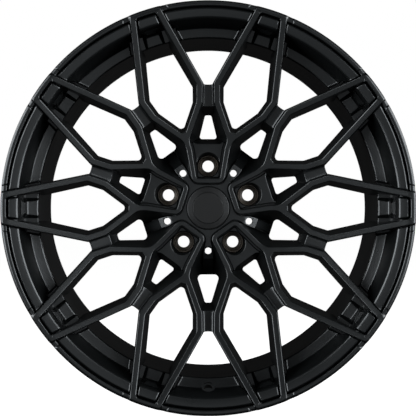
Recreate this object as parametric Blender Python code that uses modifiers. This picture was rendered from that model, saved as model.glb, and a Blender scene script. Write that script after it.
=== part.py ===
"""Forged racing wheel: a forged spoke centre set into a turned rim barrel, with steel bolt seats, a hub
centring ring and a snap-in centre cap.

The wheel is drawn lying on its back, with local +Z as the street side and the centre plane of the rim at
zero. The axle empty stands it upright: the axle lies along Y, the street side faces -Y and one bolt is at
the top. Sizes are in millimetres.
"""

import math

import bmesh
import bpy
from mathutils import Matrix, Vector

MM = 0.001
FIT_GAP = 0.3

# Rim contour: 20 inch bead seat, 9 inch between the flanges
BEAD_SEAT_DIAMETER = 508.0
FLANGE_HEIGHT = 17.3
RIM_WIDTH = 228.6
FLANGE_THICKNESS = 12.7
FLANGE_EDGE_ROUND = 4.0
BEAD_HEEL_ROUND = 4.5
BEAD_SEAT_WIDTH = 20.0
BEAD_SEAT_TAPER = math.radians(5.0)
HUMP_HEIGHT = 1.1
HUMP_WIDTH = 6.0
BARREL_WALL = 6.0

# Street lip, measured inwards from the flange
FLANGE_FACE_WIDTH = 7.3
FLANGE_FACE_DROP = 1.0
LIP_GROOVE_WIDTH = 3.4
LIP_GROOVE_DEPTH = 9.0
RIDGE_WIDTH = 11.4
RIDGE_DEPTH = 6.0
RIDGE_FALL = 2.5
RIDGE_EDGE_ROUND = 1.5
STEP_WALL_WIDTH = 10.4
STEP_WALL_DEPTH = 45.0
BAND_WIDTH = 11.4
BAND_HEIGHT = 5.0
PAD_RELIEF_DEPTH = 2.0
PAD_HALF_ANGLE = math.radians(6.3)

# Barrel and rear flange
BARREL_TAPER = 7.3
BARREL_END_DEPTH = 196.0
REAR_SHOULDER_DEPTH = 219.0
REAR_SHOULDER_DRAFT = 1.5
REAR_LIP_DEPTH = 8.0

# Valve hole, opposite the top bolt
VALVE_HOLE_DIAMETER = 11.3
VALVE_SEAT_DIAMETER = 17.0
VALVE_SEAT_DEPTH = 0.8
VALVE_TILT = math.radians(28.5)

# Hub
BOLT_COUNT = 5
BOLT_CIRCLE_DIAMETER = 112.0
OFFSET = 35.0
HUB_THICKNESS = 42.0
HUB_FACE_RADIUS = 85.0
MOUNTING_RADIUS = 73.0
MOUNTING_CHAMFER = 3.0
HUB_SKIRT_RISE = 5.0
HUB_FLOOR_THICKNESS = 37.0
BOLT_FLOOR_THICKNESS = 30.0
POCKET_FLOOR_THICKNESS = 12.0
BORE_CHAMFER = 1.0

# Centring ring in the hub bore
HUB_BORE_DIAMETER = 73.1
HUB_BORE_DEPTH = 14.0
SPIGOT_DIAMETER = 66.6
HUB_RING_CHAMFER = 1.5

# Bolt seats
BOLT_HOLE_DIAMETER = 16.0
SEAT_BORE_DIAMETER = 30.0
SEAT_SHELF_THICKNESS = 12.0
SEAT_HEIGHT = 9.0
SEAT_RIM_WIDTH = 2.2
SEAT_LAND = 2.2

# Drilled holes between the bolts, on the star-shaped hub floor
SIDE_HOLE_DIAMETER = 10.0
SIDE_HOLE_CIRCLE_DIAMETER = 114.8
HUB_FLOOR_RADIUS = 50.0
LAND_RADIUS = 68.5
LAND_FALL = 13.0

# Cradle: the raised ridge round each bolt, open towards the ribs
CRADLE_WIDTH_AT_BASE = 6.7
CRADLE_WIDTH_AT_CORNER = 5.9
CRADLE_WIDTH_AT_ARM = 7.2
CRADLE_BASE = 36.1
CRADLE_HALF_LENGTH = 18.1
ARM_RADIUS = 82.0
CRADLE_INNER_ROUND = 4.0
CRADLE_OUTER_ROUND = 9.0

# Rib pairs: centre lines in polar form, angles from the middle of the pair
APEX_RADIUS = 94.8
ELBOW_RADIUS = 140.3
ELBOW_ANGLE = math.radians(13.2)
KNEE_RADIUS = 164.4
KNEE_ANGLE = math.radians(14.0)
RIB_FOOT_ANGLE = math.radians(3.95)
RIB_ROOT_HEIGHT = 8.0
RIB_WIDTH_AT_APEX = 7.4
RIB_WIDTH_AT_ELBOW = 8.0
RIB_WIDTH_AT_KNEE = 8.2
RIB_WIDTH_AT_LIP = 7.9
FACE_CURVE = 1.25
RIB_TIP_DROP = 0.7
PETAL_DRAFT = math.radians(8.0)
VALLEY_DRAFT = math.radians(3.0)
PETAL_APEX_ROUND = 8.0
ELBOW_ROUND = 9.0
KNEE_ROUND = 7.0
ARM_ROUND = 16.0

# Bridge plates between neighbouring pairs
BOLT_BRIDGE_RADIUS = 135.5
SIDE_BRIDGE_RADIUS = 137.1
BRIDGE_OUTER_RADIUS = 162.3
BRIDGE_DROP = 9.0

# Inner windows, at their narrow rear edge
BOLT_WINDOW_INNER = 92.7
BOLT_WINDOW_OUTER = 124.2
BOLT_WINDOW_INNER_HALF = 12.0
BOLT_WINDOW_OUTER_HALF = 4.1
SIDE_WINDOW_INNER = 89.6
SIDE_WINDOW_OUTER = 127.0
SIDE_WINDOW_INNER_HALF = 16.4
SIDE_WINDOW_OUTER_HALF = 4.2
WINDOW_ROUND = 3.0
WINDOW_DRAFT = math.radians(11.0)
WINDOW_MARGIN = 0.6
POCKET_DRAFT = math.radians(8.0)

# Centre cap
CAP_DIAMETER = 56.4
CAP_SEAT_DEPTH = 2.0
CAP_SEAT_FLARE = 3.0
CAP_FLANGE_THICKNESS = 5.0
CAP_EDGE_ROUND = 1.5
CAP_BORE_DIAMETER = 55.0
CAP_TOP_THICKNESS = 2.2
SKIRT_LENGTH = 14.0
SKIRT_WALL = 1.8
SKIRT_BEAD_HEIGHT = 3.0
SKIRT_BEAD_DEPTH = 0.6
SKIRT_SLOT_WIDTH = 5.0
SKIRT_SLOT_COUNT = 6
INLAY_DIAMETER = 40.6
INLAY_THICKNESS = 1.4
INLAY_DEPTH = 1.0
SPRING_WIRE = 2.0
SPRING_OPENING = math.radians(24.0)

# Smoothness of round shapes
TURNED_STEPS = 60
SMALL_TURNED_STEPS = 48
HOLE_STEPS = 24
CORNER_STEPS = 3
SPRING_STEPS = 40
FACE_RINGS = 6
# Share of a side that one rounded corner may use up
CORNER_SHARE = 0.45

# Sizes that follow from those above
BEAD_RADIUS = BEAD_SEAT_DIAMETER / 2
FLANGE_RADIUS = BEAD_RADIUS + FLANGE_HEIGHT
HALF_WIDTH = RIM_WIDTH / 2 + FLANGE_THICKNESS
GROOVE_OUTER = FLANGE_RADIUS - FLANGE_FACE_WIDTH
RIDGE_OUTER = GROOVE_OUTER - LIP_GROOVE_WIDTH
RIDGE_INNER = RIDGE_OUTER - RIDGE_WIDTH
BAND_OUTER = RIDGE_INNER - STEP_WALL_WIDTH
BARREL_FRONT_RADIUS = BAND_OUTER - BAND_WIDTH
BARREL_REAR_RADIUS = BARREL_FRONT_RADIUS - BARREL_TAPER
BARREL_FRONT_DEPTH = STEP_WALL_DEPTH + BAND_HEIGHT
BARREL_SLOPE = BARREL_TAPER / (BARREL_END_DEPTH - BARREL_FRONT_DEPTH)
RIB_ROOT_DEPTH = BARREL_FRONT_DEPTH + RIB_ROOT_HEIGHT
RIB_ROOT_RADIUS = BARREL_FRONT_RADIUS - BARREL_SLOPE * RIB_ROOT_HEIGHT
RIB_END_RADIUS = GROOVE_OUTER - FIT_GAP
HUB_FACE = OFFSET + HUB_THICKNESS
RIB_TIP = HALF_WIDTH - RIB_TIP_DROP
HUB_FLOOR = OFFSET + HUB_FLOOR_THICKNESS
BOLT_FLOOR = OFFSET + BOLT_FLOOR_THICKNESS
POCKET_FLOOR = OFFSET + POCKET_FLOOR_THICKNESS
SEAT_SHELF = OFFSET + SEAT_SHELF_THICKNESS
BOLT_CIRCLE = BOLT_CIRCLE_DIAMETER / 2
PAIR_COUNT = 2 * BOLT_COUNT
SECTOR = 2 * math.pi / BOLT_COUNT
PAIR_ANGLE = SECTOR / 4
CAP_SEAT = HUB_FLOOR - CAP_SEAT_DEPTH
CAP_RADIUS = CAP_DIAMETER / 2
CUT_LOW = -HALF_WIDTH / 4
CUT_HIGH = HALF_WIDTH + FLANGE_THICKNESS
CUT_REACH = FLANGE_RADIUS + FLANGE_THICKNESS
CUT_INNER = CAP_BORE_DIAMETER / 4

PAINT_BLACK = (0.03, 0.032, 0.035)
BARREL_BLACK = (0.025, 0.027, 0.03)
CAP_BLACK = (0.02, 0.021, 0.023)
INLAY_GREY = (0.06, 0.063, 0.067)
SEAT_STEEL = (0.36, 0.31, 0.24)
RING_GREY = (0.25, 0.26, 0.27)
SPRING_STEEL = (0.5, 0.5, 0.5)


def street(depth):
    """Height of a point this far behind the plane of the street lip."""
    return HALF_WIDTH - depth


def polar(radius, angle):
    """Plan point at an angle clockwise from the top bolt."""
    return Vector((radius * math.sin(angle), radius * math.cos(angle)))


def turn(point, angle):
    """A plan point turned clockwise about the axle."""
    cosine, sine = math.cos(angle), math.sin(angle)
    return Vector((point.x * cosine + point.y * sine, point.y * cosine - point.x * sine))


def flip(points):
    """Mirror image of a plan path across the top bolt's line, run the other way."""
    return [Vector((-point.x, point.y)) for point in reversed(points)]


def quarter(centre, start, end, radius, steps=CORNER_STEPS):
    """Arc in a turned profile, between two angles in degrees."""
    angles = [math.radians(start + (end - start) * i / steps) for i in range(steps + 1)]
    return [(centre[0] + radius * math.cos(a), centre[1] + radius * math.sin(a)) for a in angles]


def face_height(radius):
    """Turned street face of the centre: flat over the hub, then rising in a curve to the lip."""
    share = max(0.0, (radius - HUB_FACE_RADIUS) / (RIB_END_RADIUS - HUB_FACE_RADIUS))
    return HUB_FACE + (RIB_TIP - HUB_FACE) * share**FACE_CURVE


def offset_path(points, widths, side, height, draft):
    """Wall line beside a ridge: half its width plus the draft below its top, mitred at the bends."""
    moved = []
    for i, point in enumerate(points):
        before = (point - points[i - 1]).normalized() if i else (points[1] - point).normalized()
        after = (points[i + 1] - point).normalized() if i + 1 < len(points) else before
        normals = [Vector((-way.y, way.x)) * side for way in (before, after)]
        mitre = (normals[0] + normals[1]) / (1 + normals[0].dot(normals[1]))
        drop = face_height(point.length) - height
        moved.append(point + mitre * (widths[i] / 2 + drop * math.tan(draft)))
    return moved


def rounded(points, radii, steps=CORNER_STEPS):
    """Closed outline with its corners rounded. A radius is limited by the sides that meet there."""
    outline = []
    for i, point in enumerate(points):
        back = points[i - 1] - point
        ahead = points[(i + 1) % len(points)] - point
        if radii[i] == 0:
            outline.append(point)
            continue
        half = back.angle(ahead) / 2
        reach = min(radii[i] / math.tan(half), CORNER_SHARE * min(back.length, ahead.length))
        centre = point + (back.normalized() + ahead.normalized()).normalized() * reach / math.cos(half)
        first = point + back.normalized() * reach - centre
        sweep = first.angle_signed(point + ahead.normalized() * reach - centre)
        outline += [centre + turn(first, sweep * k / steps) for k in range(steps + 1)]
    return outline


def width_at(path, distance):
    """Half width of a valley, from its wall line, at a distance from the axle along the valley's middle."""
    for low, high in zip(path, path[1:]):
        if min(low.y, high.y) <= distance <= max(low.y, high.y) and low.y != high.y:
            return low.x + (high.x - low.x) * (distance - low.y) / (high.y - low.y)
    raise ValueError(f"the valley has no wall at {distance}")


def collection(name):
    group = bpy.data.collections.new(name)
    bpy.context.scene.collection.children.link(group)
    return group


def material(name, colour, roughness, metallic):
    finish = bpy.data.materials.new(name)
    finish.use_nodes = True
    shader = finish.node_tree.nodes["Principled BSDF"]
    shader.inputs["Base Color"].default_value = (*colour, 1.0)
    shader.inputs["Roughness"].default_value = roughness
    shader.inputs["Metallic"].default_value = metallic
    return finish


def add(name, mesh, group):
    obj = bpy.data.objects.new(name, mesh)
    group.objects.link(obj)
    obj.parent = axle
    return obj


def cutter(name, mesh):
    obj = add(name, mesh, cutters)
    obj.hide_render = True
    obj.display_type = "WIRE"
    return obj


def modify(obj, operation, other):
    boolean = obj.modifiers.new(other.name, "BOOLEAN")
    boolean.operation = operation
    boolean.solver = "EXACT"
    boolean.object = other


def turned_mesh(name, profile, closed):
    """Profile in radius and height, which runs down its outer side."""
    mesh = bpy.data.meshes.new(name)
    points = [(radius * MM, 0.0, height * MM) for radius, height in profile]
    edges = [(i, i + 1) for i in range(len(points) - 1)]
    if closed:
        edges.append((len(points) - 1, 0))
    mesh.from_pydata(points, edges, [])
    return mesh


def spin(obj, steps):
    screw = obj.modifiers.new("Turned", "SCREW")
    screw.steps = steps
    screw.render_steps = steps
    screw.use_merge_vertices = True
    screw.merge_threshold = 1e-6
    screw.use_smooth_shade = False


def finish_mesh(shape, name):
    bmesh.ops.recalc_face_normals(shape, faces=shape.faces)
    mesh = bpy.data.meshes.new(name)
    shape.to_mesh(mesh)
    shape.free()
    return mesh


def loft(shape, low, low_height, high, high_height):
    """Closed solid between two outlines with as many points each."""
    rings = []
    for outline, height in ((low, low_height), (high, high_height)):
        rings.append([shape.verts.new((point.x * MM, point.y * MM, height * MM)) for point in outline])
    for i in range(len(low)):
        j = (i + 1) % len(low)
        shape.faces.new((rings[0][i], rings[0][j], rings[1][j], rings[1][i]))
    shape.faces.new(rings[0])
    shape.faces.new(rings[1])


def around(shape, count, start=0.0):
    """Turns what is in the shape to its first place, then copies it evenly about the axle."""
    bmesh.ops.rotate(shape, verts=shape.verts, matrix=Matrix.Rotation(-start, 3, "Z"))
    first = shape.verts[:] + shape.edges[:] + shape.faces[:]
    for k in range(1, count):
        copy = bmesh.ops.duplicate(shape, geom=first)
        moved = [item for item in copy["geom"] if isinstance(item, bmesh.types.BMVert)]
        bmesh.ops.rotate(shape, verts=moved, matrix=Matrix.Rotation(-2 * math.pi * k / count, 3, "Z"))


def drill(shape, radius, low, high, place):
    """Straight round hole along the axle's direction, turned so that no corner faces the axle."""
    centre = Matrix.Translation((place.x * MM, place.y * MM, (low + high) / 2 * MM))
    centre @= Matrix.Rotation(math.pi / HOLE_STEPS, 4, "Z")
    bmesh.ops.create_cone(
        shape, cap_ends=True, segments=HOLE_STEPS, radius1=radius * MM, radius2=radius * MM,
        depth=(high - low) * MM, matrix=centre,
    )


def rib_points(side):
    """Centre line of one rib of the pair beside the top bolt, from the apex past the lip."""
    bends = ((APEX_RADIUS, 0.0), (ELBOW_RADIUS, ELBOW_ANGLE), (KNEE_RADIUS, KNEE_ANGLE))
    points = [polar(radius, PAIR_ANGLE + side * angle) for radius, angle in bends]
    foot = polar(RIB_END_RADIUS, PAIR_ANGLE + side * RIB_FOOT_ANGLE)
    points.append(foot + (foot - points[-1]).normalized() * FLANGE_THICKNESS)
    return points


RIB_WIDTHS = (RIB_WIDTH_AT_APEX, RIB_WIDTH_AT_ELBOW, RIB_WIDTH_AT_KNEE, RIB_WIDTH_AT_LIP)


CRADLE_WIDTHS = (CRADLE_WIDTH_AT_BASE, CRADLE_WIDTH_AT_CORNER, CRADLE_WIDTH_AT_ARM)


def cradle_points():
    """Centre line of half a cradle: its base, its corner and its arm, which meets the middle of the pair."""
    arm = polar(ARM_RADIUS, PAIR_ANGLE)
    return [Vector((0.0, CRADLE_BASE)), Vector((CRADLE_HALF_LENGTH, CRADLE_BASE)), arm]


def bolt_wall(height):
    """Wall of the valley in front of the top bolt, from the cradle's corner to past the lip."""
    points = cradle_points() + rib_points(-1)
    widths = CRADLE_WIDTHS + RIB_WIDTHS
    return offset_path(points, widths, 1, height, VALLEY_DRAFT)[1:]


def side_wall(height, draft=VALLEY_DRAFT):
    """Wall of the valley between two bolts, on the far side of the same cradle arm."""
    points = cradle_points() + rib_points(1)
    widths = CRADLE_WIDTHS + RIB_WIDTHS
    return offset_path(points, widths, -1, height, draft)[1:]


def petal_outline(height):
    left = rib_points(-1)
    right = rib_points(1)
    points = left[:0:-1] + right
    widths = RIB_WIDTHS[:0:-1] + RIB_WIDTHS
    outline = offset_path(points, widths, 1, height, PETAL_DRAFT)
    radii = (0, KNEE_ROUND, ELBOW_ROUND, PETAL_APEX_ROUND, ELBOW_ROUND, KNEE_ROUND, 0)
    return rounded(outline, radii)


def petal_cutters():
    shape = bmesh.new()
    loft(shape, petal_outline(CUT_LOW), CUT_LOW, petal_outline(CUT_HIGH), CUT_HIGH)
    around(shape, PAIR_COUNT)
    return cutter("petal_windows", finish_mesh(shape, "petal_windows"))


def bolt_valley_outline(height):
    half = bolt_wall(height)
    radii = (CRADLE_INNER_ROUND, ARM_ROUND, ARM_ROUND, ELBOW_ROUND, KNEE_ROUND, 0)
    return rounded(half + flip(half), radii + radii[::-1])


def star_outline(height):
    """Outline of the hub floor and the five valleys that run out of it between the bolts."""
    half = side_wall(height)
    radii = (CRADLE_OUTER_ROUND, ARM_ROUND, ARM_ROUND, ELBOW_ROUND, KNEE_ROUND, 0)
    points, rounds = [], []
    for k in range(BOLT_COUNT):
        points += [turn(point, k * SECTOR) for point in half]
        points += [turn(point, (k + 1) * SECTOR) for point in flip(half)]
        rounds += radii + radii[::-1]
    return rounded(points, rounds)


def floor_body(name, bridge_radius, hub_levels):
    """Space above the valley floors: the hub levels, the bridge plates, then open to the lip."""
    plate = [(radius, face_height(radius) - BRIDGE_DROP) for radius in (BRIDGE_OUTER_RADIUS, bridge_radius)]
    profile = [(CUT_REACH + FLANGE_THICKNESS, CUT_HIGH), (CUT_REACH + FLANGE_THICKNESS, CUT_LOW)]
    profile += [(BRIDGE_OUTER_RADIUS, CUT_LOW)] + plate + hub_levels
    profile += [(CUT_INNER, hub_levels[-1][1]), (CUT_INNER, CUT_HIGH)]
    body = cutter(name, turned_mesh(name, profile, True))
    spin(body, TURNED_STEPS)
    # Half a facet round from the blank, so that their edges cross and never run along each other
    body.rotation_euler.z = math.pi / TURNED_STEPS
    return body


def bolt_valley_cutters():
    shape = bmesh.new()
    top = CUT_HIGH - FIT_GAP
    loft(shape, bolt_valley_outline(CUT_LOW), CUT_LOW, bolt_valley_outline(top), top)
    around(shape, BOLT_COUNT)
    valleys = cutter("bolt_valleys", finish_mesh(shape, "bolt_valleys"))
    levels = [(BOLT_WINDOW_INNER, BOLT_FLOOR)]
    modify(valleys, "INTERSECT", floor_body("bolt_valley_floor", BOLT_BRIDGE_RADIUS, levels))
    return valleys


def star_cutter():
    shape = bmesh.new()
    top = CUT_HIGH - FIT_GAP
    loft(shape, star_outline(CUT_LOW), CUT_LOW, star_outline(top), top)
    star = cutter("star_valleys", finish_mesh(shape, "star_valleys"))
    land_end = HUB_FLOOR - LAND_FALL
    levels = [(SIDE_WINDOW_INNER, land_end), (LAND_RADIUS, land_end), (HUB_FLOOR_RADIUS, HUB_FLOOR)]
    modify(star, "INTERSECT", floor_body("star_valley_floor", SIDE_BRIDGE_RADIUS, levels))
    return star


def window_cutters(name, wall, inner, outer, inner_half, outer_half, start):
    """Inner windows: a narrow rear edge, opening out to the valley walls at the front."""
    front = face_height(outer)
    spread = (front - OFFSET) * math.tan(WINDOW_DRAFT)
    front_inner, front_outer = inner - spread, outer + spread
    wide = width_at(wall, max(front_inner, wall[1].y)) - WINDOW_MARGIN
    narrow = width_at(wall, front_outer) - WINDOW_MARGIN
    low = [Vector(corner) for corner in ((inner_half, inner), (outer_half, outer))]
    high = [Vector(corner) for corner in ((wide, front_inner), (narrow, front_outer))]
    radii = (WINDOW_ROUND,) * 4
    shape = bmesh.new()
    loft(shape, rounded(low + flip(low), radii), OFFSET, rounded(high + flip(high), radii), front)
    around(shape, BOLT_COUNT, start)
    return cutter(name, finish_mesh(shape, name))


def turned_wall(height, draft=VALLEY_DRAFT):
    """The side wall seen with the middle of its valley pointing up."""
    return [turn(point, -SECTOR / 2) for point in side_wall(height, draft)]


def pocket_outline(height):
    """Deep pocket between the drilled land and the side window."""
    wall = [Vector((-point.x, point.y)) for point in turned_wall(height, POCKET_DRAFT)]
    corners = [
        Vector((width_at(wall, LAND_RADIUS), LAND_RADIUS)),
        Vector((width_at(wall, SIDE_WINDOW_INNER), SIDE_WINDOW_INNER)),
    ]
    return rounded(corners + flip(corners), (WINDOW_ROUND, 0, 0, WINDOW_ROUND))


def pocket_cutters():
    shape = bmesh.new()
    top = HUB_FLOOR - FIT_GAP
    loft(shape, pocket_outline(POCKET_FLOOR), POCKET_FLOOR, pocket_outline(top), top)
    around(shape, BOLT_COUNT, SECTOR / 2)
    return cutter("side_pockets", finish_mesh(shape, "side_pockets"))


def hole_cutters(name, diameter, circle, low, high, start):
    shape = bmesh.new()
    drill(shape, diameter / 2, low, high, Vector((0.0, circle)))
    around(shape, BOLT_COUNT, start)
    return cutter(name, finish_mesh(shape, name))


def centre_profile():
    """Turned blank of the centre: the lip side follows the rim, the back carries the hub."""
    ridge_outer = street(RIDGE_DEPTH) + FIT_GAP
    ridge_inner = street(RIDGE_DEPTH + RIDGE_FALL) + FIT_GAP
    lip_side = [
        (RIB_END_RADIUS, RIB_TIP),
        (RIB_END_RADIUS, ridge_outer),
        (RIDGE_OUTER - FIT_GAP, ridge_outer),
        (RIDGE_INNER - FIT_GAP, ridge_inner),
        (BAND_OUTER - FIT_GAP, street(STEP_WALL_DEPTH) + FIT_GAP),
        (BARREL_FRONT_RADIUS - FIT_GAP, street(BARREL_FRONT_DEPTH) + FIT_GAP),
        (RIB_ROOT_RADIUS - FIT_GAP, street(RIB_ROOT_DEPTH)),
    ]
    back = [
        (HUB_FACE_RADIUS, OFFSET + HUB_SKIRT_RISE),
        (MOUNTING_RADIUS + MOUNTING_CHAMFER, OFFSET + MOUNTING_CHAMFER),
        (MOUNTING_RADIUS, OFFSET),
    ]
    bore = [
        (HUB_BORE_DIAMETER / 2 + BORE_CHAMFER, OFFSET),
        (HUB_BORE_DIAMETER / 2, OFFSET + BORE_CHAMFER),
        (HUB_BORE_DIAMETER / 2, OFFSET + HUB_BORE_DEPTH),
        (CAP_BORE_DIAMETER / 2, OFFSET + HUB_BORE_DEPTH),
        (CAP_BORE_DIAMETER / 2, CAP_SEAT),
        (CAP_RADIUS + FIT_GAP, CAP_SEAT),
        (CAP_RADIUS + FIT_GAP, HUB_FLOOR - BORE_CHAMFER),
        (CAP_RADIUS + FIT_GAP + CAP_SEAT_FLARE, HUB_FACE),
    ]
    rise = RIB_END_RADIUS - HUB_FACE_RADIUS
    face = [HUB_FACE_RADIUS + rise * k / FACE_RINGS for k in range(FACE_RINGS)]
    return lip_side + back + bore + [(radius, face_height(radius)) for radius in face]


def forged_centre():
    centre = add("forged_centre", turned_mesh("forged_centre", centre_profile(), True), parts)
    spin(centre, TURNED_STEPS)
    bolt_side = bolt_wall(HUB_FACE)
    between = [Vector((-point.x, point.y)) for point in turned_wall(HUB_FACE)]
    cuts = [
        hole_cutters("seat_bores", SEAT_BORE_DIAMETER, BOLT_CIRCLE, SEAT_SHELF, CUT_HIGH, 0.0),
        hole_cutters("bolt_holes", BOLT_HOLE_DIAMETER, BOLT_CIRCLE, CUT_LOW, CUT_HIGH, 0.0),
        hole_cutters(
            "side_holes", SIDE_HOLE_DIAMETER, SIDE_HOLE_CIRCLE_DIAMETER / 2, CUT_LOW, CUT_HIGH, SECTOR / 2
        ),
        petal_cutters(),
        bolt_valley_cutters(),
        star_cutter(),
        window_cutters(
            "bolt_windows", bolt_side, BOLT_WINDOW_INNER, BOLT_WINDOW_OUTER,
            BOLT_WINDOW_INNER_HALF, BOLT_WINDOW_OUTER_HALF, 0.0,
        ),
        window_cutters(
            "side_windows", between, SIDE_WINDOW_INNER, SIDE_WINDOW_OUTER,
            SIDE_WINDOW_INNER_HALF, SIDE_WINDOW_OUTER_HALF, SECTOR / 2,
        ),
        pocket_cutters(),
    ]
    for cut in cuts:
        modify(centre, "DIFFERENCE", cut)
    centre.data.materials.append(material("satin_black_paint", PAINT_BLACK, 0.42, 0.3))


def flange_side():
    """Tyre side of the street flange, from its edge to the well: radius and depth from the lip plane."""
    edge = FLANGE_EDGE_ROUND
    top = quarter((FLANGE_RADIUS - edge, edge), -90, 0, edge)
    tyre = quarter((FLANGE_RADIUS - edge, FLANGE_THICKNESS - edge), 0, 90, edge)
    heel_depth = FLANGE_THICKNESS + BEAD_HEEL_ROUND
    heel = quarter((BEAD_RADIUS + BEAD_HEEL_ROUND, heel_depth), -90, -180, BEAD_HEEL_ROUND)
    seat_end = heel_depth + BEAD_SEAT_WIDTH
    seat_radius = BEAD_RADIUS - BEAD_SEAT_WIDTH * math.tan(BEAD_SEAT_TAPER)
    hump = [
        (seat_radius, seat_end),
        (seat_radius + HUMP_HEIGHT, seat_end + HUMP_WIDTH / 2),
        (seat_radius, seat_end + HUMP_WIDTH),
    ]
    return top + tyre + heel + hump


def rim_profile():
    tyre_side = flange_side()
    outer = [(radius, street(depth)) for radius, depth in tyre_side]
    outer.append((BARREL_FRONT_RADIUS + BARREL_WALL, street(BARREL_FRONT_DEPTH + BARREL_WALL)))
    outer.append((BARREL_REAR_RADIUS + BARREL_WALL, street(BARREL_END_DEPTH - BARREL_WALL)))
    outer += [(radius, -street(depth)) for radius, depth in reversed(tyre_side)]
    shoulder = BEAD_RADIUS - BARREL_WALL
    rear = [
        (GROOVE_OUTER, -HALF_WIDTH),
        (shoulder + REAR_SHOULDER_DRAFT, REAR_LIP_DEPTH - HALF_WIDTH),
        (shoulder - REAR_SHOULDER_DRAFT, street(REAR_SHOULDER_DEPTH)),
    ]
    barrel = [
        (BARREL_REAR_RADIUS, street(BARREL_END_DEPTH)),
        (BARREL_FRONT_RADIUS, street(BARREL_FRONT_DEPTH)),
        (BAND_OUTER, street(STEP_WALL_DEPTH)),
    ]
    wall_slope = STEP_WALL_WIDTH / (STEP_WALL_DEPTH - RIDGE_DEPTH - RIDGE_FALL)
    lip = [
        (RIDGE_INNER - RIDGE_EDGE_ROUND * wall_slope, street(RIDGE_DEPTH + RIDGE_FALL + RIDGE_EDGE_ROUND)),
        (RIDGE_INNER + RIDGE_EDGE_ROUND, street(RIDGE_DEPTH + RIDGE_FALL)),
        (RIDGE_OUTER, street(RIDGE_DEPTH)),
        (RIDGE_OUTER, street(LIP_GROOVE_DEPTH)),
        (GROOVE_OUTER, street(LIP_GROOVE_DEPTH)),
        (GROOVE_OUTER, street(FLANGE_FACE_DROP)),
    ]
    return outer + rear + barrel + lip


def relief_cutters():
    """The lip is cut back a little between the pads where the rib pairs land."""
    start, end = PAD_HALF_ANGLE, 2 * PAIR_ANGLE - PAD_HALF_ANGLE
    steps = 2 * CORNER_STEPS
    angles = [start + (end - start) * k / steps for k in range(steps + 1)]
    inner = [polar(RIDGE_OUTER + LIP_GROOVE_WIDTH / 2, angle) for angle in angles]
    outer = [polar(CUT_REACH, angle) for angle in reversed(angles)]
    shape = bmesh.new()
    loft(shape, inner + outer, street(PAD_RELIEF_DEPTH), inner + outer, CUT_HIGH)
    around(shape, PAIR_COUNT, PAIR_ANGLE)
    return cutter("lip_reliefs", finish_mesh(shape, "lip_reliefs"))


def valve_cutter(name, diameter, low, high):
    """Round hole on the valve's axis, through the corner of the step wall and the band."""
    shape = bmesh.new()
    bmesh.ops.create_cone(
        shape, cap_ends=True, segments=HOLE_STEPS, radius1=diameter / 2 * MM, radius2=diameter / 2 * MM,
        depth=(high - low) * MM, matrix=Matrix.Translation((0, 0, (low + high) / 2 * MM)),
    )
    away = Vector((0.0, -math.cos(VALVE_TILT), -math.sin(VALVE_TILT)))
    seat = Vector((0.0, -BAND_OUTER * MM, street(STEP_WALL_DEPTH) * MM))
    bmesh.ops.transform(shape, verts=shape.verts, matrix=away.to_track_quat("Z", "Y").to_matrix().to_4x4())
    bmesh.ops.translate(shape, verts=shape.verts, vec=seat)
    return cutter(name, finish_mesh(shape, name))


def rim_barrel():
    rim = add("rim_barrel", turned_mesh("rim_barrel", rim_profile(), True), parts)
    spin(rim, TURNED_STEPS)
    reach = STEP_WALL_WIDTH + BAND_WIDTH
    modify(rim, "DIFFERENCE", relief_cutters())
    modify(rim, "DIFFERENCE", valve_cutter("valve_seat", VALVE_SEAT_DIAMETER, -reach, VALVE_SEAT_DEPTH))
    modify(rim, "DIFFERENCE", valve_cutter("valve_hole", VALVE_HOLE_DIAMETER, -reach, reach))
    rim.data.materials.append(material("satin_black_barrel", BARREL_BLACK, 0.4, 0.3))


def bolt_seats():
    """Steel cone seats, pressed into the bolt holes."""
    outer = SEAT_BORE_DIAMETER / 2 - FIT_GAP
    inner = BOLT_HOLE_DIAMETER / 2
    base = SEAT_SHELF + FIT_GAP
    top = base + SEAT_HEIGHT
    profile = [
        (outer, top), (outer, base), (inner, base), (inner, base + SEAT_LAND), (outer - SEAT_RIM_WIDTH, top),
    ]
    steel = material("bare_steel_seat", SEAT_STEEL, 0.35, 1.0)
    mesh = turned_mesh("bolt_seat", profile, True)
    mesh.materials.append(steel)
    for k in range(BOLT_COUNT):
        seat = add(f"bolt_seat_{k + 1}", mesh, parts)
        place = polar(BOLT_CIRCLE, k * SECTOR)
        seat.location = (place.x * MM, place.y * MM, 0.0)
        spin(seat, HOLE_STEPS)


def hub_ring():
    outer = HUB_BORE_DIAMETER / 2 - FIT_GAP
    inner = SPIGOT_DIAMETER / 2
    low, high = OFFSET + FIT_GAP, OFFSET + HUB_BORE_DEPTH - FIT_GAP
    profile = [
        (outer, high), (outer, low + HUB_RING_CHAMFER / 2), (outer - HUB_RING_CHAMFER / 2, low),
        (inner + HUB_RING_CHAMFER, low), (inner, low + HUB_RING_CHAMFER), (inner, high),
    ]
    ring = add("hub_ring", turned_mesh("hub_ring", profile, True), parts)
    spin(ring, SMALL_TURNED_STEPS)
    ring.data.materials.append(material("grey_centring_ring", RING_GREY, 0.5, 0.2))


CAP_BASE = CAP_SEAT + FIT_GAP
CAP_FACE = CAP_BASE + CAP_FLANGE_THICKNESS
CAP_UNDERSIDE = CAP_FACE - INLAY_DEPTH - CAP_TOP_THICKNESS
SKIRT_OUTER = CAP_BORE_DIAMETER / 2 - FIT_GAP - SKIRT_BEAD_DEPTH
SKIRT_INNER = SKIRT_OUTER - SKIRT_WALL
SKIRT_TIP = CAP_BASE - SKIRT_LENGTH


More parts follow.
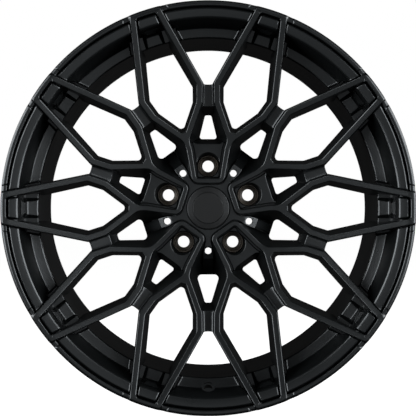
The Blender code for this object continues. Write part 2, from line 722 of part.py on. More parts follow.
def cap_profile():
    recess = INLAY_DIAMETER / 2 + FIT_GAP
    floor = CAP_FACE - INLAY_DEPTH
    bead = SKIRT_OUTER + SKIRT_BEAD_DEPTH
    return [
        (0.0, floor),
        (recess, floor),
        (recess, CAP_FACE),
        (CAP_RADIUS - CAP_EDGE_ROUND, CAP_FACE),
        (CAP_RADIUS, CAP_FACE - CAP_EDGE_ROUND),
        (CAP_RADIUS, CAP_BASE),
        (SKIRT_OUTER, CAP_BASE),
        (SKIRT_OUTER, SKIRT_TIP + SKIRT_BEAD_HEIGHT),
        (bead, SKIRT_TIP + SKIRT_BEAD_HEIGHT / 2),
        (SKIRT_OUTER, SKIRT_TIP),
        (SKIRT_INNER, SKIRT_TIP),
        (SKIRT_INNER, CAP_UNDERSIDE),
        (0.0, CAP_UNDERSIDE),
    ]


def centre_cap():
    cap = add("centre_cap", turned_mesh("centre_cap", cap_profile(), False), parts)
    spin(cap, SMALL_TURNED_STEPS)
    slots = bmesh.new()
    low, high = SKIRT_TIP - SKIRT_LENGTH, CAP_BASE - SKIRT_WALL
    middle = (SKIRT_INNER + SKIRT_OUTER) / 2
    across = 2 * (SKIRT_WALL + SKIRT_BEAD_DEPTH)
    size = Matrix.Diagonal((SKIRT_SLOT_WIDTH * MM, across * MM, (high - low) * MM, 1.0))
    place = Matrix.Translation((0.0, middle * MM, (low + high) / 2 * MM))
    bmesh.ops.create_cube(slots, size=1.0, matrix=place @ size)
    around(slots, SKIRT_SLOT_COUNT)
    modify(cap, "DIFFERENCE", cutter("skirt_slots", finish_mesh(slots, "skirt_slots")))
    cap.data.materials.append(material("black_cap_plastic", CAP_BLACK, 0.35, 0.0))


def cap_inlay():
    radius = INLAY_DIAMETER / 2
    low = CAP_FACE - INLAY_DEPTH + FIT_GAP
    profile = [(0.0, low + INLAY_THICKNESS), (radius, low + INLAY_THICKNESS), (radius, low), (0.0, low)]
    inlay = add("cap_inlay", turned_mesh("cap_inlay", profile, False), parts)
    spin(inlay, SMALL_TURNED_STEPS)
    inlay.data.materials.append(material("dark_grey_inlay", INLAY_GREY, 0.3, 0.6))


def cap_spring_ring():
    """Open wire ring just inside the cap's fingers, at the height of their bead."""
    path = bpy.data.curves.new("cap_spring_ring", "CURVE")
    path.dimensions = "3D"
    path.bevel_depth = SPRING_WIRE / 2 * MM
    path.bevel_resolution = 1
    path.use_fill_caps = True
    wire = path.splines.new("POLY")
    wire.points.add(SPRING_STEPS)
    radius = SKIRT_INNER - FIT_GAP - SPRING_WIRE / 2
    height = SKIRT_TIP + SKIRT_BEAD_HEIGHT / 2
    sweep = 2 * math.pi - SPRING_OPENING
    for k, point in enumerate(wire.points):
        place = polar(radius, SPRING_OPENING / 2 + sweep * k / SPRING_STEPS)
        point.co = (place.x * MM, place.y * MM, height * MM, 1.0)
    add("cap_spring_ring", path, parts)
    path.materials.append(material("spring_steel", SPRING_STEEL, 0.3, 1.0))


for old in list(bpy.data.objects):
    bpy.data.objects.remove(old)
parts = collection("forged_racing_wheel")
cutters = collection("cutters")
axle = bpy.data.objects.new("axle", None)
axle.rotation_euler = (math.pi / 2, 0.0, 0.0)
parts.objects.link(axle)

forged_centre()
rim_barrel()
bolt_seats()
hub_ring()
centre_cap()
cap_inlay()
cap_spring_ring()
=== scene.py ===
"""Forged racing wheel in satin black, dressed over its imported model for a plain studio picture.

Plan points are in millimetres: x to the right, y up and heights from the rim's centre plane towards the
street side, which faces -Y. Angles run clockwise from the top bolt.
"""

import math

import bmesh
import bpy
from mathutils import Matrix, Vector, geometry


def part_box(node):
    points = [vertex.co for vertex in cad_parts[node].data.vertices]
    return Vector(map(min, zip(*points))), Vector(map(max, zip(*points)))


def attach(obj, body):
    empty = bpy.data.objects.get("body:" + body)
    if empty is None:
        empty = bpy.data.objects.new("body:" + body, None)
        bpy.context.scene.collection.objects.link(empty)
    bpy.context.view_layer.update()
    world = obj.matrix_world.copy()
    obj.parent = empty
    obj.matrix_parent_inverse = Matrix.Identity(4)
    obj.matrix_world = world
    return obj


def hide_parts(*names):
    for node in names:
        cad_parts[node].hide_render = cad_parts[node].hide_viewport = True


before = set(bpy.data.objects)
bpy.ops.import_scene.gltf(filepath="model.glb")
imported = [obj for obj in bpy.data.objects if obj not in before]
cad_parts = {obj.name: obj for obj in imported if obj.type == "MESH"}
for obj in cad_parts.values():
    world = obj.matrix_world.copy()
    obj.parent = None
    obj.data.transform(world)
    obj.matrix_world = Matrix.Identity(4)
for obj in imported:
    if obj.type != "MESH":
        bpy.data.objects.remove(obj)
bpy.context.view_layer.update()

bl_info = {
    "name": "Forged racing wheel",
    "version": (1, 0, 0),
    "blender": (4, 5, 0),
    "location": "3D View > Sidebar > Wheel",
    "description": "Builds a forged wheel with its rim, bolt seats, centring ring and cap",
    "category": "Add Mesh",
}

MM = 0.001
FIT_GAP = 0.3

# Rim, hub and cap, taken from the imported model
FLANGE_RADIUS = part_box("rim_barrel")[1].x / MM
HALF_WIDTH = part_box("rim_barrel")[1].y / MM
HUB_BACK = -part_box("forged_centre")[1].y / MM
CAP_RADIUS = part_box("centre_cap")[1].x / MM
CAP_FACE = -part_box("centre_cap")[0].y / MM

# Hub: levels, and radii of its circles
HUB_FACE = HUB_BACK + 42.0
HUB_FACE_RADIUS = 85.0
HUB_FLOOR = HUB_BACK + 37.0
BOLT_FLOOR = HUB_BACK + 30.0
BOLT_COUNT = 5
BOLT_CIRCLE = 56.0
SECTOR = 2 * math.pi / BOLT_COUNT
PAIR_ANGLE = SECTOR / 4
MOUNTING_RADIUS = 73.0
MOUNTING_CHAMFER = 3.0

# Street face of the ribs
RIB_END_RADIUS = 263.7
RIB_ROOT_RADIUS = 266.6
RIB_TIP = HALF_WIDTH - 0.05
FACE_CURVE = 1.25

# Ridge lines in polar form, with angles from the middle of a rib pair, and the rounds at their bends
CRADLE_CORNERS = ((0.0, 36.1), (18.1, 36.1))
ARM_RADIUS = 82.0
CRADLE_WIDTHS = (6.7, 5.9, 7.2)
BOLT_SIDE_ROUNDS = (0.0, 4.0, 16.0)
OUTER_SIDE_ROUNDS = (0.0, 9.0, 16.0)
RIB_BENDS = ((94.8, 0.0), (140.3, 13.2), (164.4, 14.0))
RIB_FOOT_ANGLE = 3.84
RIB_WIDTHS = (7.4, 8.0, 8.2, 7.9)
RIB_ROUNDS = (16.0, 9.0, 7.0, 0.0)
PETAL_ROUND = 4.6

# Walls of the ridges, and the grooves milled along their feet
WALL_REACH = 6.0
VALLEY_DRAFT = math.radians(3.0)
PETAL_DRAFT = math.radians(8.0)
PETAL_ROOT_DRAFT = math.radians(1.5)
PETAL_ROOT_START = 219.0
PETAL_ROOT_BLEND = 13.0
GROOVE_DEPTH = 4.0
FLOOR_EDGE = 1.2
HUB_EDGE = 0.8

# Edges on the rear: step away from the wall, lift over the rear face
REAR_ROUND = 0.8
REAR_STEPS = ((0.0, REAR_ROUND), (REAR_ROUND, 0.0))

# Groove from the wall across: step sideways, share of the groove's width, rise above its floor
GROOVE_LINE = ((0.3, 0.0, 0.5), (0.6, 0.0, 0.0), (-0.4, 1.0, 0.0), (-0.1, 1.0, 0.5))

# Fineness of the mesh
BEND_STEPS = 6
LEAST_BEND = 0.4
BEND_SHARE = 0.45
ROUND_STEPS = 4
ARC_STEPS = 5
ROUND_ANGLES = [math.pi / 2 * k / ROUND_STEPS for k in range(ROUND_STEPS + 1)]
ROW_SPACING = 4.0
SECTOR_STEPS = 12
HOLE_STEPS = 24
PLATE_CUTS = 4
FILL_TOLERANCE = 1e-4


def polar(radius, angle):
    return Vector((radius * math.sin(angle), radius * math.cos(angle)))


def half_sector(radius, height):
    """Arc from the line of a bolt to the line between two bolts."""
    return [(*polar(radius, SECTOR / 2 * k / SECTOR_STEPS), height) for k in range(SECTOR_STEPS + 1)]


def turn(point, angle):
    """A plan point turned clockwise about the axle."""
    cosine, sine = math.cos(angle), math.sin(angle)
    return Vector((point.x * cosine + point.y * sine, point.y * cosine - point.x * sine))


def between_bolts(point):
    """Plan point as seen from the valley between two bolts: distance from its middle, then distance out."""
    turned = turn(point, -SECTOR / 2)
    return Vector((-turned.x, turned.y))


def from_between_bolts(point):
    turned = turn(Vector((-point[0], point[1])), SECTOR / 2)
    return (turned.x, turned.y, point[2])


def clamp(value):
    return min(1.0, max(0.0, value))


def smooth(value):
    value = clamp(value)
    return value * value * (3 - 2 * value)


def blend(first, second, share):
    return first + (second - first) * share


def mix(first, second, share):
    return tuple(blend(a, b, share) for a, b in zip(first, second))


def shares(count):
    return [k / (count - 1) for k in range(count)]


def quarter(centre, start, end, radius):
    """Arc between two angles in degrees, as radius and height."""
    points = []
    for share in shares(ARC_STEPS + 1):
        angle = math.radians(blend(start, end, share))
        points.append((centre[0] + radius * math.cos(angle), centre[1] + radius * math.sin(angle)))
    return points


def stations(radius, height, offsets):
    """Points of a turned line, given as steps out and up from a radius and a height."""
    return [(radius + out, height + up) for out, up in offsets]


def face_height(radius):
    """Turned street face: flat over the hub, then rising in a curve to the lip."""
    share = (radius - HUB_FACE_RADIUS) / (RIB_END_RADIUS - HUB_FACE_RADIUS)
    return HUB_FACE + (RIB_TIP - HUB_FACE) * clamp(share) ** FACE_CURVE


# Rear of the centre from the mounting face outwards, then along the rim where the ribs grow out of it
REAR_LINE = (
    (0.0, HUB_BACK), (MOUNTING_RADIUS, HUB_BACK),
    (MOUNTING_RADIUS + MOUNTING_CHAMFER, HUB_BACK + MOUNTING_CHAMFER), (HUB_FACE_RADIUS, HUB_BACK + 5.0),
    (220.0, 67.0), (226.0, 59.5), (228.0, 62.3), (243.0, 77.0), (249.0, 105.0), (255.0, 115.3),
    (268.0, 115.3),
)


def rear_height(radius):
    for (r0, h0), (r1, h1) in zip(REAR_LINE, REAR_LINE[1:]):
        if radius <= r1:
            return h0 + (h1 - h0) * (radius - r0) / (r1 - r0)
    return REAR_LINE[-1][1]


class Skin:
    """Faces gathered from plan points with heights. Points in one place share a vertex."""

    def __init__(self):
        self.places = {}
        self.points = []
        self.faces = []

    def corner(self, point):
        key = tuple(round(value, 3) for value in point)
        if key not in self.places:
            self.places[key] = len(self.points)
            self.points.append(point)
        return self.places[key]

    def face(self, points):
        corners = []
        for point in points:
            index = self.corner(point)
            if index not in corners:
                corners.append(index)
        if len(corners) > 2:
            self.faces.append(corners)

    def strips(self, rows):
        """Quads between neighbouring rows with as many points in each."""
        for first, second in zip(rows, rows[1:]):
            for a, b, c, d in zip(first, first[1:], second[1:], second):
                self.face((a, b, c, d))

    def fill(self, loop, inner=()):
        """Triangles inside a closed loop, through further points inside it."""
        points = list(loop) + list(inner)
        flat = [Vector((point[0], point[1])) for point in points]
        sides = [(i, (i + 1) % len(loop)) for i in range(len(loop))]
        faces, sources = geometry.delaunay_2d_cdt(flat, sides, [], 1, FILL_TOLERANCE)[2:4]
        for face in faces:
            if not all(sources[k] for k in face):
                raise RuntimeError("an outline crosses itself")
            self.face([points[sources[k][0]] for k in face])

    def add(self, other, change):
        for face in other.faces:
            self.face([change(other.points[k]) for k in face])

    def mesh(self, name):
        mesh = bpy.data.meshes.new(name)
        mesh.from_pydata([(x * MM, -h * MM, y * MM) for x, y, h in self.points], [], self.faces)
        return mesh


class RidgeSide:
    """Left side of a ridge, given as rows at a distance from its edge. Every row has as many points."""

    def __init__(self, bends, widths, rounds, apex=None):
        self.bends = bends
        self.widths = widths
        self.rounds = rounds
        self.apex = apex
        arcs = self.arcs(0.0, 0.0)
        self.cuts = [
            max(1, math.ceil((b[0] - a[-1]).length / ROW_SPACING)) for a, b in zip(arcs, arcs[1:])
        ]

    def moved(self, distance):
        ways = [(b - a).normalized() for a, b in zip(self.bends, self.bends[1:])]
        moved = []
        for i, bend in enumerate(self.bends):
            before, after = ways[max(0, i - 1)], ways[min(i, len(ways) - 1)]
            left = [Vector((-way.y, way.x)) for way in (before, after)]
            mitre = (left[0] + left[1]) / (1 + left[0].dot(left[1]))
            moved.append(bend + mitre * (self.widths[i] / 2 + distance))
        return moved

    def arcs(self, distance, flat):
        """Arc at each bend. A flat share of one draws the arc at the apex as a straight line."""
        moved = self.moved(distance)
        arcs = []
        for i, bend in enumerate(moved):
            if not self.rounds[i]:
                arcs.append([bend])
                continue
            back, ahead = moved[i - 1] - bend, moved[i + 1] - bend
            inner = back.cross(ahead) < 0
            radius = self.rounds[i] - distance if inner else self.rounds[i] + distance
            if i == self.apex:
                radius = self.rounds[i]
            half = back.angle(ahead) / 2
            reach = min(max(radius, LEAST_BEND) / math.tan(half), BEND_SHARE * min(back.length, ahead.length))
            first, last = bend + back.normalized() * reach, bend + ahead.normalized() * reach
            middle = bend + (back.normalized() + ahead.normalized()).normalized() * reach / math.cos(half)
            sweep = (first - middle).angle_signed(last - middle)
            arc = []
            for k in range(BEND_STEPS + 1):
                share = k / BEND_STEPS
                curved = middle + turn(first - middle, sweep * share)
                arc.append(curved.lerp(first.lerp(last, share), flat) if i == self.apex else curved)
            arcs.append(arc)
        return arcs

    def row(self, distance, flat=0.0):
        arcs = self.arcs(distance, flat)
        points = []
        for i, arc in enumerate(arcs):
            points += arc
            if i + 1 < len(arcs):
                cuts = self.cuts[i]
                points += [arc[-1].lerp(arcs[i + 1][0], k / cuts) for k in range(1, cuts)]
        return points

    def top_rows(self, profile, flat=0.0):
        """Rows of an edge's rounding, from pairs of distance and drop below the turned face."""
        rows = []
        for distance, drop in profile:
            rows.append([(p.x, p.y, face_height(p.length) - drop) for p in self.row(distance, flat)])
        return rows


def rounding(size):
    """Profile of a rounded outer edge, as pairs of distance and drop."""
    return [(size * (math.sin(a) - 1), size * (1 - math.cos(a))) for a in ROUND_ANGLES]


def wall_rows(side, top, levels, size, draft):
    """Rows down a drafted wall into a rounded foot on the level below."""
    near, far = side.row(0.0), side.row(WALL_REACH)
    rows = []
    for angle in ROUND_ANGLES:
        row = []
        for a, b, point, level in zip(near, far, top, levels):
            away = (point[2] - level - size) * math.tan(draft) + size * (1 - math.cos(angle))
            row.append((*a.lerp(b, away / WALL_REACH), level + size * (1 - math.sin(angle))))
        rows.append(row)
    return rows


def groove_rows(side, levels, widths, size):
    """Rows down a wall, through a groove at its foot and up over the rounded edge of the level beside it."""
    near, far = side.row(0.0), side.row(WALL_REACH)
    steps = [(plus, share, rise - GROOVE_DEPTH) for plus, share, rise in GROOVE_LINE]
    steps += [(size * (1 - math.cos(a)), 1.0, size * (math.sin(a) - 1)) for a in ROUND_ANGLES]
    rows = []
    for plus, share, rise in steps:
        row = []
        for a, b, level, width in zip(near, far, levels, widths):
            row.append((*a.lerp(b, (width * share + plus) / WALL_REACH), level + rise))
        rows.append(row)
    return rows


def petal_draft(radius):
    """Draft of the petal walls, which stand nearly upright on the rim."""
    return blend(PETAL_DRAFT, PETAL_ROOT_DRAFT, smooth((radius - PETAL_ROOT_START) / PETAL_ROOT_BLEND))


def rear_rows(side, top, draft, flat=0.0):
    """Rows at the rear edge of a wall: above its rounding, then on the rear face."""
    near, far = side.row(0.0, flat), side.row(WALL_REACH)
    rows = [[], []]
    for a, b, point in zip(near, far, top):
        away = (point[2] - rear_height(a.length)) * math.tan(draft(a.length))
        for row, (back, lift) in zip(rows, REAR_STEPS):
            place = a.lerp(b, (away - back) / WALL_REACH)
            row.append((*place, rear_height(place.length) + lift))
    return rows


def edge_rows(curve, fades, ways, size):
    """Rows of a rounded outer edge along a curve: each point moves its own way by its own share."""
    rows = [curve]
    for angle in ROUND_ANGLES[1:]:
        out, down = size * math.sin(angle), size * (1 - math.cos(angle))
        row = []
        for (x, y, height), fade, (across, along) in zip(curve, fades, ways):
            row.append((x + across * out * fade, y + along * out * fade, height - down * fade))
        rows.append(row)
    return rows


class Window:
    """Half outline of a window that narrows away from the hub, in five runs from its inner middle."""

    def __init__(self, inner, outer, inner_half, outer_half, inner_round, outer_round):
        self.inner = inner
        self.outer = outer
        self.halves = (inner_half, outer_half)
        self.rounds = (inner_round, outer_round)

    def runs(self, grow):
        low, high = self.inner - grow, self.outer + grow
        corners = [Vector((0.0, low)), Vector((self.halves[0] + grow, low))]
        corners += [Vector((self.halves[1] + grow, high)), Vector((0.0, high))]
        side = RidgeSide(corners, (0.0,) * 4, (0.0, self.rounds[0] + grow, self.rounds[1] + grow, 0.0))
        first, second = side.arcs(0.0, 0.0)[1:3]
        return [[corners[0], first[0]], first, [first[-1], second[0]], second, [second[-1], corners[3]]]

    def place(self, run, share, grow, lift):
        points = self.runs(grow)[run]
        spot = share * (len(points) - 1)
        k = min(int(spot), len(points) - 2)
        place = points[k].lerp(points[k + 1], spot - k)
        return (*place, rear_height(place.length) + lift)

    def rows(self, marks):
        return [[self.place(run, share, grow, lift) for run, share in marks] for grow, lift in REAR_STEPS]


def nearest(row, distance):
    return min(range(len(row)), key=lambda i: abs(row[i][1] - distance))


def place_on(row, distance):
    """Where a row is this far out, as an index with a fraction."""
    k = next(i for i in range(1, len(row)) if row[i][1] >= distance)
    return k - 1 + (distance - row[k - 1][1]) / (row[k][1] - row[k - 1][1])


def point_on(row, place):
    k = min(int(place), len(row) - 2)
    return mix(row[k], row[k + 1], place - k)


def stretch(row, start, end, count):
    """Evenly spaced points on a row between two distances out."""
    first, last = place_on(row, start), place_on(row, end)
    return [point_on(row, blend(first, last, share)) for share in shares(count)]


def pin(row, distance):
    """Moves the nearest point of a row to exactly this far out."""
    row[nearest(row, distance)] = point_on(row, place_on(row, distance))


# Plates that bridge the ribs
BRIDGE_OUTER = 162.3
BRIDGE_CORNER = 4.0
BRIDGE_DROP = 9.0
BRIDGE_FOOT_ROUND = 3.2
BOLT_BRIDGE_INNER = 135.5
SIDE_BRIDGE_INNER = 137.1

# Windows: inner and outer end, half width at each, corner round at each
BOLT_WINDOW = (92.7, 124.2, 12.0, 4.1, 3.0, 2.5)
SIDE_WINDOW = (89.6, 127.0, 15.8, 4.2, 5.4, 2.5)
WINDOW_EDGE_SHARE = 0.06


def corner_reach(gap):
    """How far a rounded inner corner reaches past the straight edge, at a distance from the wall."""
    if gap >= BRIDGE_CORNER:
        return 0.0
    return BRIDGE_CORNER - math.sqrt(BRIDGE_CORNER**2 - (BRIDGE_CORNER - gap) ** 2)


class Valley:
    """Space between two ridges, seen from its middle line: bridge plate, window and outer gap."""

    def __init__(self, skin, side, tops, plate_edge, bridge_inner):
        self.skin = skin
        self.side = side
        self.wall = tops[-1]
        self.plate_edge = plate_edge
        self.bridge_inner = bridge_inner

    def floor_wall(self, grooves, end):
        """Wall and groove beside a floor. Returns the floor's edge, and the ends of all rows upwards."""
        rows = [row[:end + 1] for row in grooves]
        self.skin.strips([self.wall[:end + 1]] + rows)
        return rows[-1], [row[end] for row in reversed(rows)] + [self.wall[end]]

    def floor_end(self, lip, column, ways, size):
        """Rounded end of a floor, which fades out up the wall. Returns its lower edge."""
        fades = [1.0] * len(lip) + [1 - smooth(share) for share in shares(len(column))]
        rows = edge_rows(lip + column, fades, ways, size)
        self.skin.strips(rows)
        return rows[-1]

    def bridge(self):
        """Plate between the ribs, rounded at both ends and where it meets the ribs."""
        wall, inner = self.wall, self.bridge_inner
        first, last = nearest(wall, inner), nearest(wall, BRIDGE_OUTER + BRIDGE_CORNER)
        levels = [face_height(Vector(point[:2]).length) - BRIDGE_DROP for point in wall]
        count = last - first + 1
        rows = [wall[first:last + 1]]
        for row in wall_rows(self.side, wall, levels, BRIDGE_FOOT_ROUND, VALLEY_DRAFT):
            gap = wall[last][0] - row[last][0]
            rows.append(stretch(row, inner, BRIDGE_OUTER + corner_reach(gap), count))
        foot = rows[-1]
        for share in shares(PLATE_CUTS + 1)[1:]:
            row = []
            for span, point in zip(shares(count), foot):
                straight = blend(inner, BRIDGE_OUTER, span)
                place = Vector((point[0] * (1 - share), blend(point[1], straight, share)))
                row.append((*place, face_height(place.length) - BRIDGE_DROP))
            rows.append(row)
        self.skin.strips(rows)
        ends = []
        for index, way in ((0, -1.0), (-1, 1.0)):
            curve = [row[index] for row in rows]
            fades = [smooth(k / (ROUND_STEPS + 1)) for k in range(len(curve))]
            end = edge_rows(curve, fades, [(0.0, way)] * len(curve), self.plate_edge)
            self.skin.strips(end)
            ends.append(end[-1])
        return first, last, ends

    def outer_gap(self, last, edge):
        """Walls of the open gap between the bridge, the two ribs and the rim."""
        rows = [row[last:] for row in rear_rows(self.side, self.wall, lambda radius: VALLEY_DRAFT)]
        self.skin.strips([self.wall[last:]] + rows)
        corner = ROUND_STEPS + 1
        bottoms = []
        for row, (back, lift) in zip(rows, REAR_STEPS):
            places = []
            for x, y, height in edge:
                away = (height - rear_height(y)) * math.tan(VALLEY_DRAFT)
                places.append(Vector((x, y + away - back)))
            start, foot = Vector(row[0][:2]), places[corner]
            bend = Vector((start.x, foot.y))
            for k in range(corner):
                share = k / corner
                places[k] = start.lerp(bend, share).lerp(bend.lerp(foot, share), share)
            bottoms.append([(*place, rear_height(place.length) + lift) for place in places])
        self.skin.strips([edge] + bottoms)
        return bottoms[1][::-1] + rows[1][1:], [row[-1] for row in rows]

    def window(self, window, inner, inner_marks, start, first, edge):
        """Window walls, from a loop over the hub side, the ridge wall and the bridge down to the rear."""
        wall = self.wall[start + 1:first]
        loop = inner + wall + edge
        marks = list(inner_marks)
        turned, bend = marks[-1][1] if marks[-1][0] == 1 else 0.0, window.inner
        for point in wall:
            if point[1] < bend:
                share = (point[1] - self.wall[start][1]) / (bend - self.wall[start][1])
                marks.append((1, blend(turned, 1, share)))
            else:
                marks.append((2, (point[1] - bend) / (self.wall[first][1] - bend)))
        marks += [(3, share) for share in shares(ROUND_STEPS + 2)]
        marks += [(4, share) for share in shares(PLATE_CUTS + 1)[1:]]
        rear = window.rows(marks)
        near = [mix(a, b, WINDOW_EDGE_SHARE) for a, b in zip(loop, rear[0])]
        self.skin.strips([loop, near] + rear)
        return rear[1]

    def beyond_floor(self, window, inner, inner_marks, start):
        """Window, bridge and outer gap. Returns their rear edges and the wall's tail on the rim."""
        first, last, ends = self.bridge()
        rear = self.window(window, inner, inner_marks, start, first, ends[0])
        gap, tail = self.outer_gap(last, ends[1])
        return {"window": rear, "gap": gap, "tail": tail}


def wheel_ridges():
    """Both sides of the ridge from a cradle to the ribs beside it, and the petal between the two ribs."""
    cradle = [Vector(point) for point in CRADLE_CORNERS] + [polar(ARM_RADIUS, PAIR_ANGLE)]
    ribs = {}
    for way in (-1, 1):
        bends = [polar(radius, PAIR_ANGLE + way * math.radians(angle)) for radius, angle in RIB_BENDS]
        foot = polar(RIB_END_RADIUS, PAIR_ANGLE + way * math.radians(RIB_FOOT_ANGLE))
        ahead = (foot - bends[-1]).normalized()
        ribs[way] = bends + [foot + ahead * (RIB_ROOT_RADIUS - RIB_END_RADIUS)]
    widths = CRADLE_WIDTHS + RIB_WIDTHS
    bolt = RidgeSide(cradle + ribs[-1], widths, BOLT_SIDE_ROUNDS + RIB_ROUNDS)
    others = [between_bolts(point) for point in cradle + ribs[1]]
    side = RidgeSide(others, widths, OUTER_SIDE_ROUNDS + RIB_ROUNDS)
    rounds = RIB_ROUNDS[:0:-1] + (PETAL_ROUND,) + RIB_ROUNDS[1:]
    petal = RidgeSide(ribs[-1][:0:-1] + ribs[1], RIB_WIDTHS[:0:-1] + RIB_WIDTHS, rounds, apex=len(RIB_BENDS))
    return bolt, side, petal


# Cradle floor, with the bore for its bolt seat and the dish round it
BOLT_FLOOR_END = 84.6
FLOOR_HORN = 1.8
HORN_POWER = 8
FLOOR_END_SHARES = (0.0, 0.2, 0.4, 0.6, 0.75, 0.85, 0.93)
CRADLE_GROOVE_WIDTHS = (1.4, 2.9)
CRADLE_GROOVE_START = 40.0
CRADLE_GROOVE_BLEND = 12.0
SEAT_BORE_RADIUS = 14.9
SEAT_EDGE_RADIUS = 15.2
SEAT_EDGE_DROP = 0.4
SEAT_EDGE_CLEARANCE = 0.2
SEAT_SHELF = HUB_BACK + 12.0
BOLT_HOLE_RADIUS = 7.8
DISH_WIDTH = 3.6
DISH_SLOPE = 1.6
DISH_BLEND = 0.8
DISH_CLEARANCE = 0.3
DISH_AXIS_STEPS = (6.0, 2.0)
CRADLE_CORNER_SHARE = 0.6


def from_bolt(point):
    return Vector((point[0], point[1] - BOLT_CIRCLE))


def dish_radius(away):
    """Edge of the dish round a bolt, which opens away from the axle."""
    return SEAT_EDGE_RADIUS + DISH_WIDTH * max(0.0, away.y / away.length)


def bolt_level(place):
    """Floor of a cradle, with the dish round its bolt."""
    away = from_bolt(place)
    inside = dish_radius(away) - away.length
    if inside <= 0:
        return BOLT_FLOOR
    if inside < DISH_BLEND:
        return BOLT_FLOOR - DISH_SLOPE * inside * inside / (2 * DISH_BLEND)
    return BOLT_FLOOR - DISH_SLOPE * (inside - DISH_BLEND / 2)


def clear_of_bore(point):
    """Point moved away from the bolt where the wall's foot would reach into the bore."""
    away = from_bolt(point)
    if away.length < SEAT_EDGE_RADIUS + SEAT_EDGE_CLEARANCE:
        away = away.normalized() * (SEAT_EDGE_RADIUS + SEAT_EDGE_CLEARANCE)
    return (away.x, BOLT_CIRCLE + away.y, point[2])


def half_round(centre, radius, height):
    """Half circle on the right of a middle line, from its far end to its near end."""
    points = []
    for k in range(HOLE_STEPS + 1):
        angle = math.pi * k / HOLE_STEPS
        across = 0.0 if k in (0, HOLE_STEPS) else radius * math.sin(angle)
        place = (across, centre + radius * math.cos(angle))
        points.append((*place, height(place)))
    return points


def rear_edge(radius):
    """Chamfered edge of a hole in the mounting face, as radius and height."""
    return [(radius + out, HUB_BACK + lift) for out, lift in REAR_STEPS]


def drilled_rows(centre, levels):
    """Half circles down a hole, each at one level."""
    return [half_round(centre, radius, lambda place, level=level: level) for radius, level in levels]


def within(loop, place, margin):
    """True where a plan point lies inside a loop, clear of its sides by a margin."""
    spot = Vector(place)
    crossings = 0
    for a, b in zip(loop, loop[1:] + loop[:1]):
        start, end = Vector(a[:2]), Vector(b[:2])
        share = geometry.intersect_point_line(spot, start, end)[1]
        if (start.lerp(end, clamp(share)) - spot).length < margin:
            return False
        if (a[1] > spot.y) != (b[1] > spot.y):
            crossings += spot.x < a[0] + (b[0] - a[0]) * (spot.y - a[1]) / (b[1] - a[1])
    return crossings % 2 == 1


def fill_clear(skin, loop, inner, margin):
    """Fills a loop through those inner points that keep clear of its sides."""
    skin.fill(loop, [point for point in inner if within(loop, point[:2], margin)])


def cradle_grooves(side):
    """Groove along the wall of a cradle, which widens beside the bolt and keeps clear of its bore."""
    near = side.row(0.0)
    widths = []
    for point in near:
        widening = smooth((point.y - CRADLE_GROOVE_START) / CRADLE_GROOVE_BLEND)
        widths.append(blend(*CRADLE_GROOVE_WIDTHS, widening))
    rows = groove_rows(side, [BOLT_FLOOR] * len(near), widths, FLOOR_EDGE)
    return [[clear_of_bore(point) for point in row] for row in rows]


def bolt_bore():
    """Half circles down the bore of a bolt seat and the bolt hole."""
    edge = bolt_level((0.0, BOLT_CIRCLE + SEAT_EDGE_RADIUS)) - SEAT_EDGE_DROP
    levels = [(SEAT_BORE_RADIUS, edge), (SEAT_BORE_RADIUS, SEAT_SHELF), (BOLT_HOLE_RADIUS, SEAT_SHELF)]
    rows = [half_round(BOLT_CIRCLE, SEAT_EDGE_RADIUS, bolt_level)]
    return rows + drilled_rows(BOLT_CIRCLE, levels + rear_edge(BOLT_HOLE_RADIUS))


def dish_rows(bore):
    """Edge of the dish round a bolt and the end of its blend, beside each point of the bore."""
    rows = [[], []]
    for point in bore:
        away = from_bolt(point)
        for row, back in zip(rows, (0.0, DISH_BLEND)):
            place = away.normalized() * (dish_radius(away) - back)
            place = (place.x, place.y + BOLT_CIRCLE)
            row.append((*place, bolt_level(place)))
    return rows


def bolt_valley(skin, side, tops, plate_edge):
    """Cradle floor with its bolt bore, the window in front of it, the bridge and the gap beyond."""
    valley = Valley(skin, side, tops, plate_edge, BOLT_BRIDGE_INNER)
    end = nearest(valley.wall, BOLT_FLOOR_END + FLOOR_HORN)
    foot, column = valley.floor_wall(cradle_grooves(side), end)
    horn = column[0][1] - BOLT_FLOOR_END
    lip = []
    for share in FLOOR_END_SHARES:
        lip.append((column[0][0] * share, BOLT_FLOOR_END + horn * share**HORN_POWER, BOLT_FLOOR))
    edge = valley.floor_end(lip, column, [(0.0, 1.0)] * len(lip + column), plate_edge)
    drilled = bolt_bore()
    edge_of_dish, end_of_blend = dish_rows(drilled[0])
    dish_end = BOLT_CIRCLE + DISH_WIDTH + SEAT_EDGE_RADIUS
    axis = [(0.0, dish_end + reach, BOLT_FLOOR) for reach in DISH_AXIS_STEPS]
    loop = foot + lip[::-1] + axis + [edge_of_dish[0], end_of_blend[0]] + drilled[0]
    fill_clear(skin, loop, edge_of_dish[1:] + end_of_blend[1:], DISH_CLEARANCE)
    skin.strips(drilled)
    marks = [(0, share) for share in shares(len(lip) + 1)[:-1]]
    marks += [(1, CRADLE_CORNER_SHARE * share) for share in shares(len(column))]
    return {"hole": drilled[-1], **valley.beyond_floor(Window(*BOLT_WINDOW), edge, marks, end)}


# Hub floor between two bolts: a tongue with a small hole, and the slots beside it
HUB_GROOVE_WIDTH = 1.4
SIDE_HOLE_RADIUS = 4.75
SIDE_HOLE_CIRCLE = 57.4
SIDE_HOLE_EDGE = ((0.3, 0.0), (0.1, 0.2), (0.0, 0.6))
LAND_START = 50.0
LAND_END = 67.2
LAND_HALF = 6.2
LAND_FALL = 6.0
LAND_EDGE = 0.7
LAND_STEPS = 5
LAND_SHOULDER = 4.5
WAIST_INSET = 0.4
WAIST_BACK = 10.0
SLOT_START = 43.0
SLOT_HALF = 2.4
CREASE_PLACES = (1.2, 2.4, 3.6, 4.8)
CREASE_CLEARANCE = 0.5
FLOOR_MIDDLE = (35.0, 42.0, LAND_START)
LAND_MIDDLE = 65.5

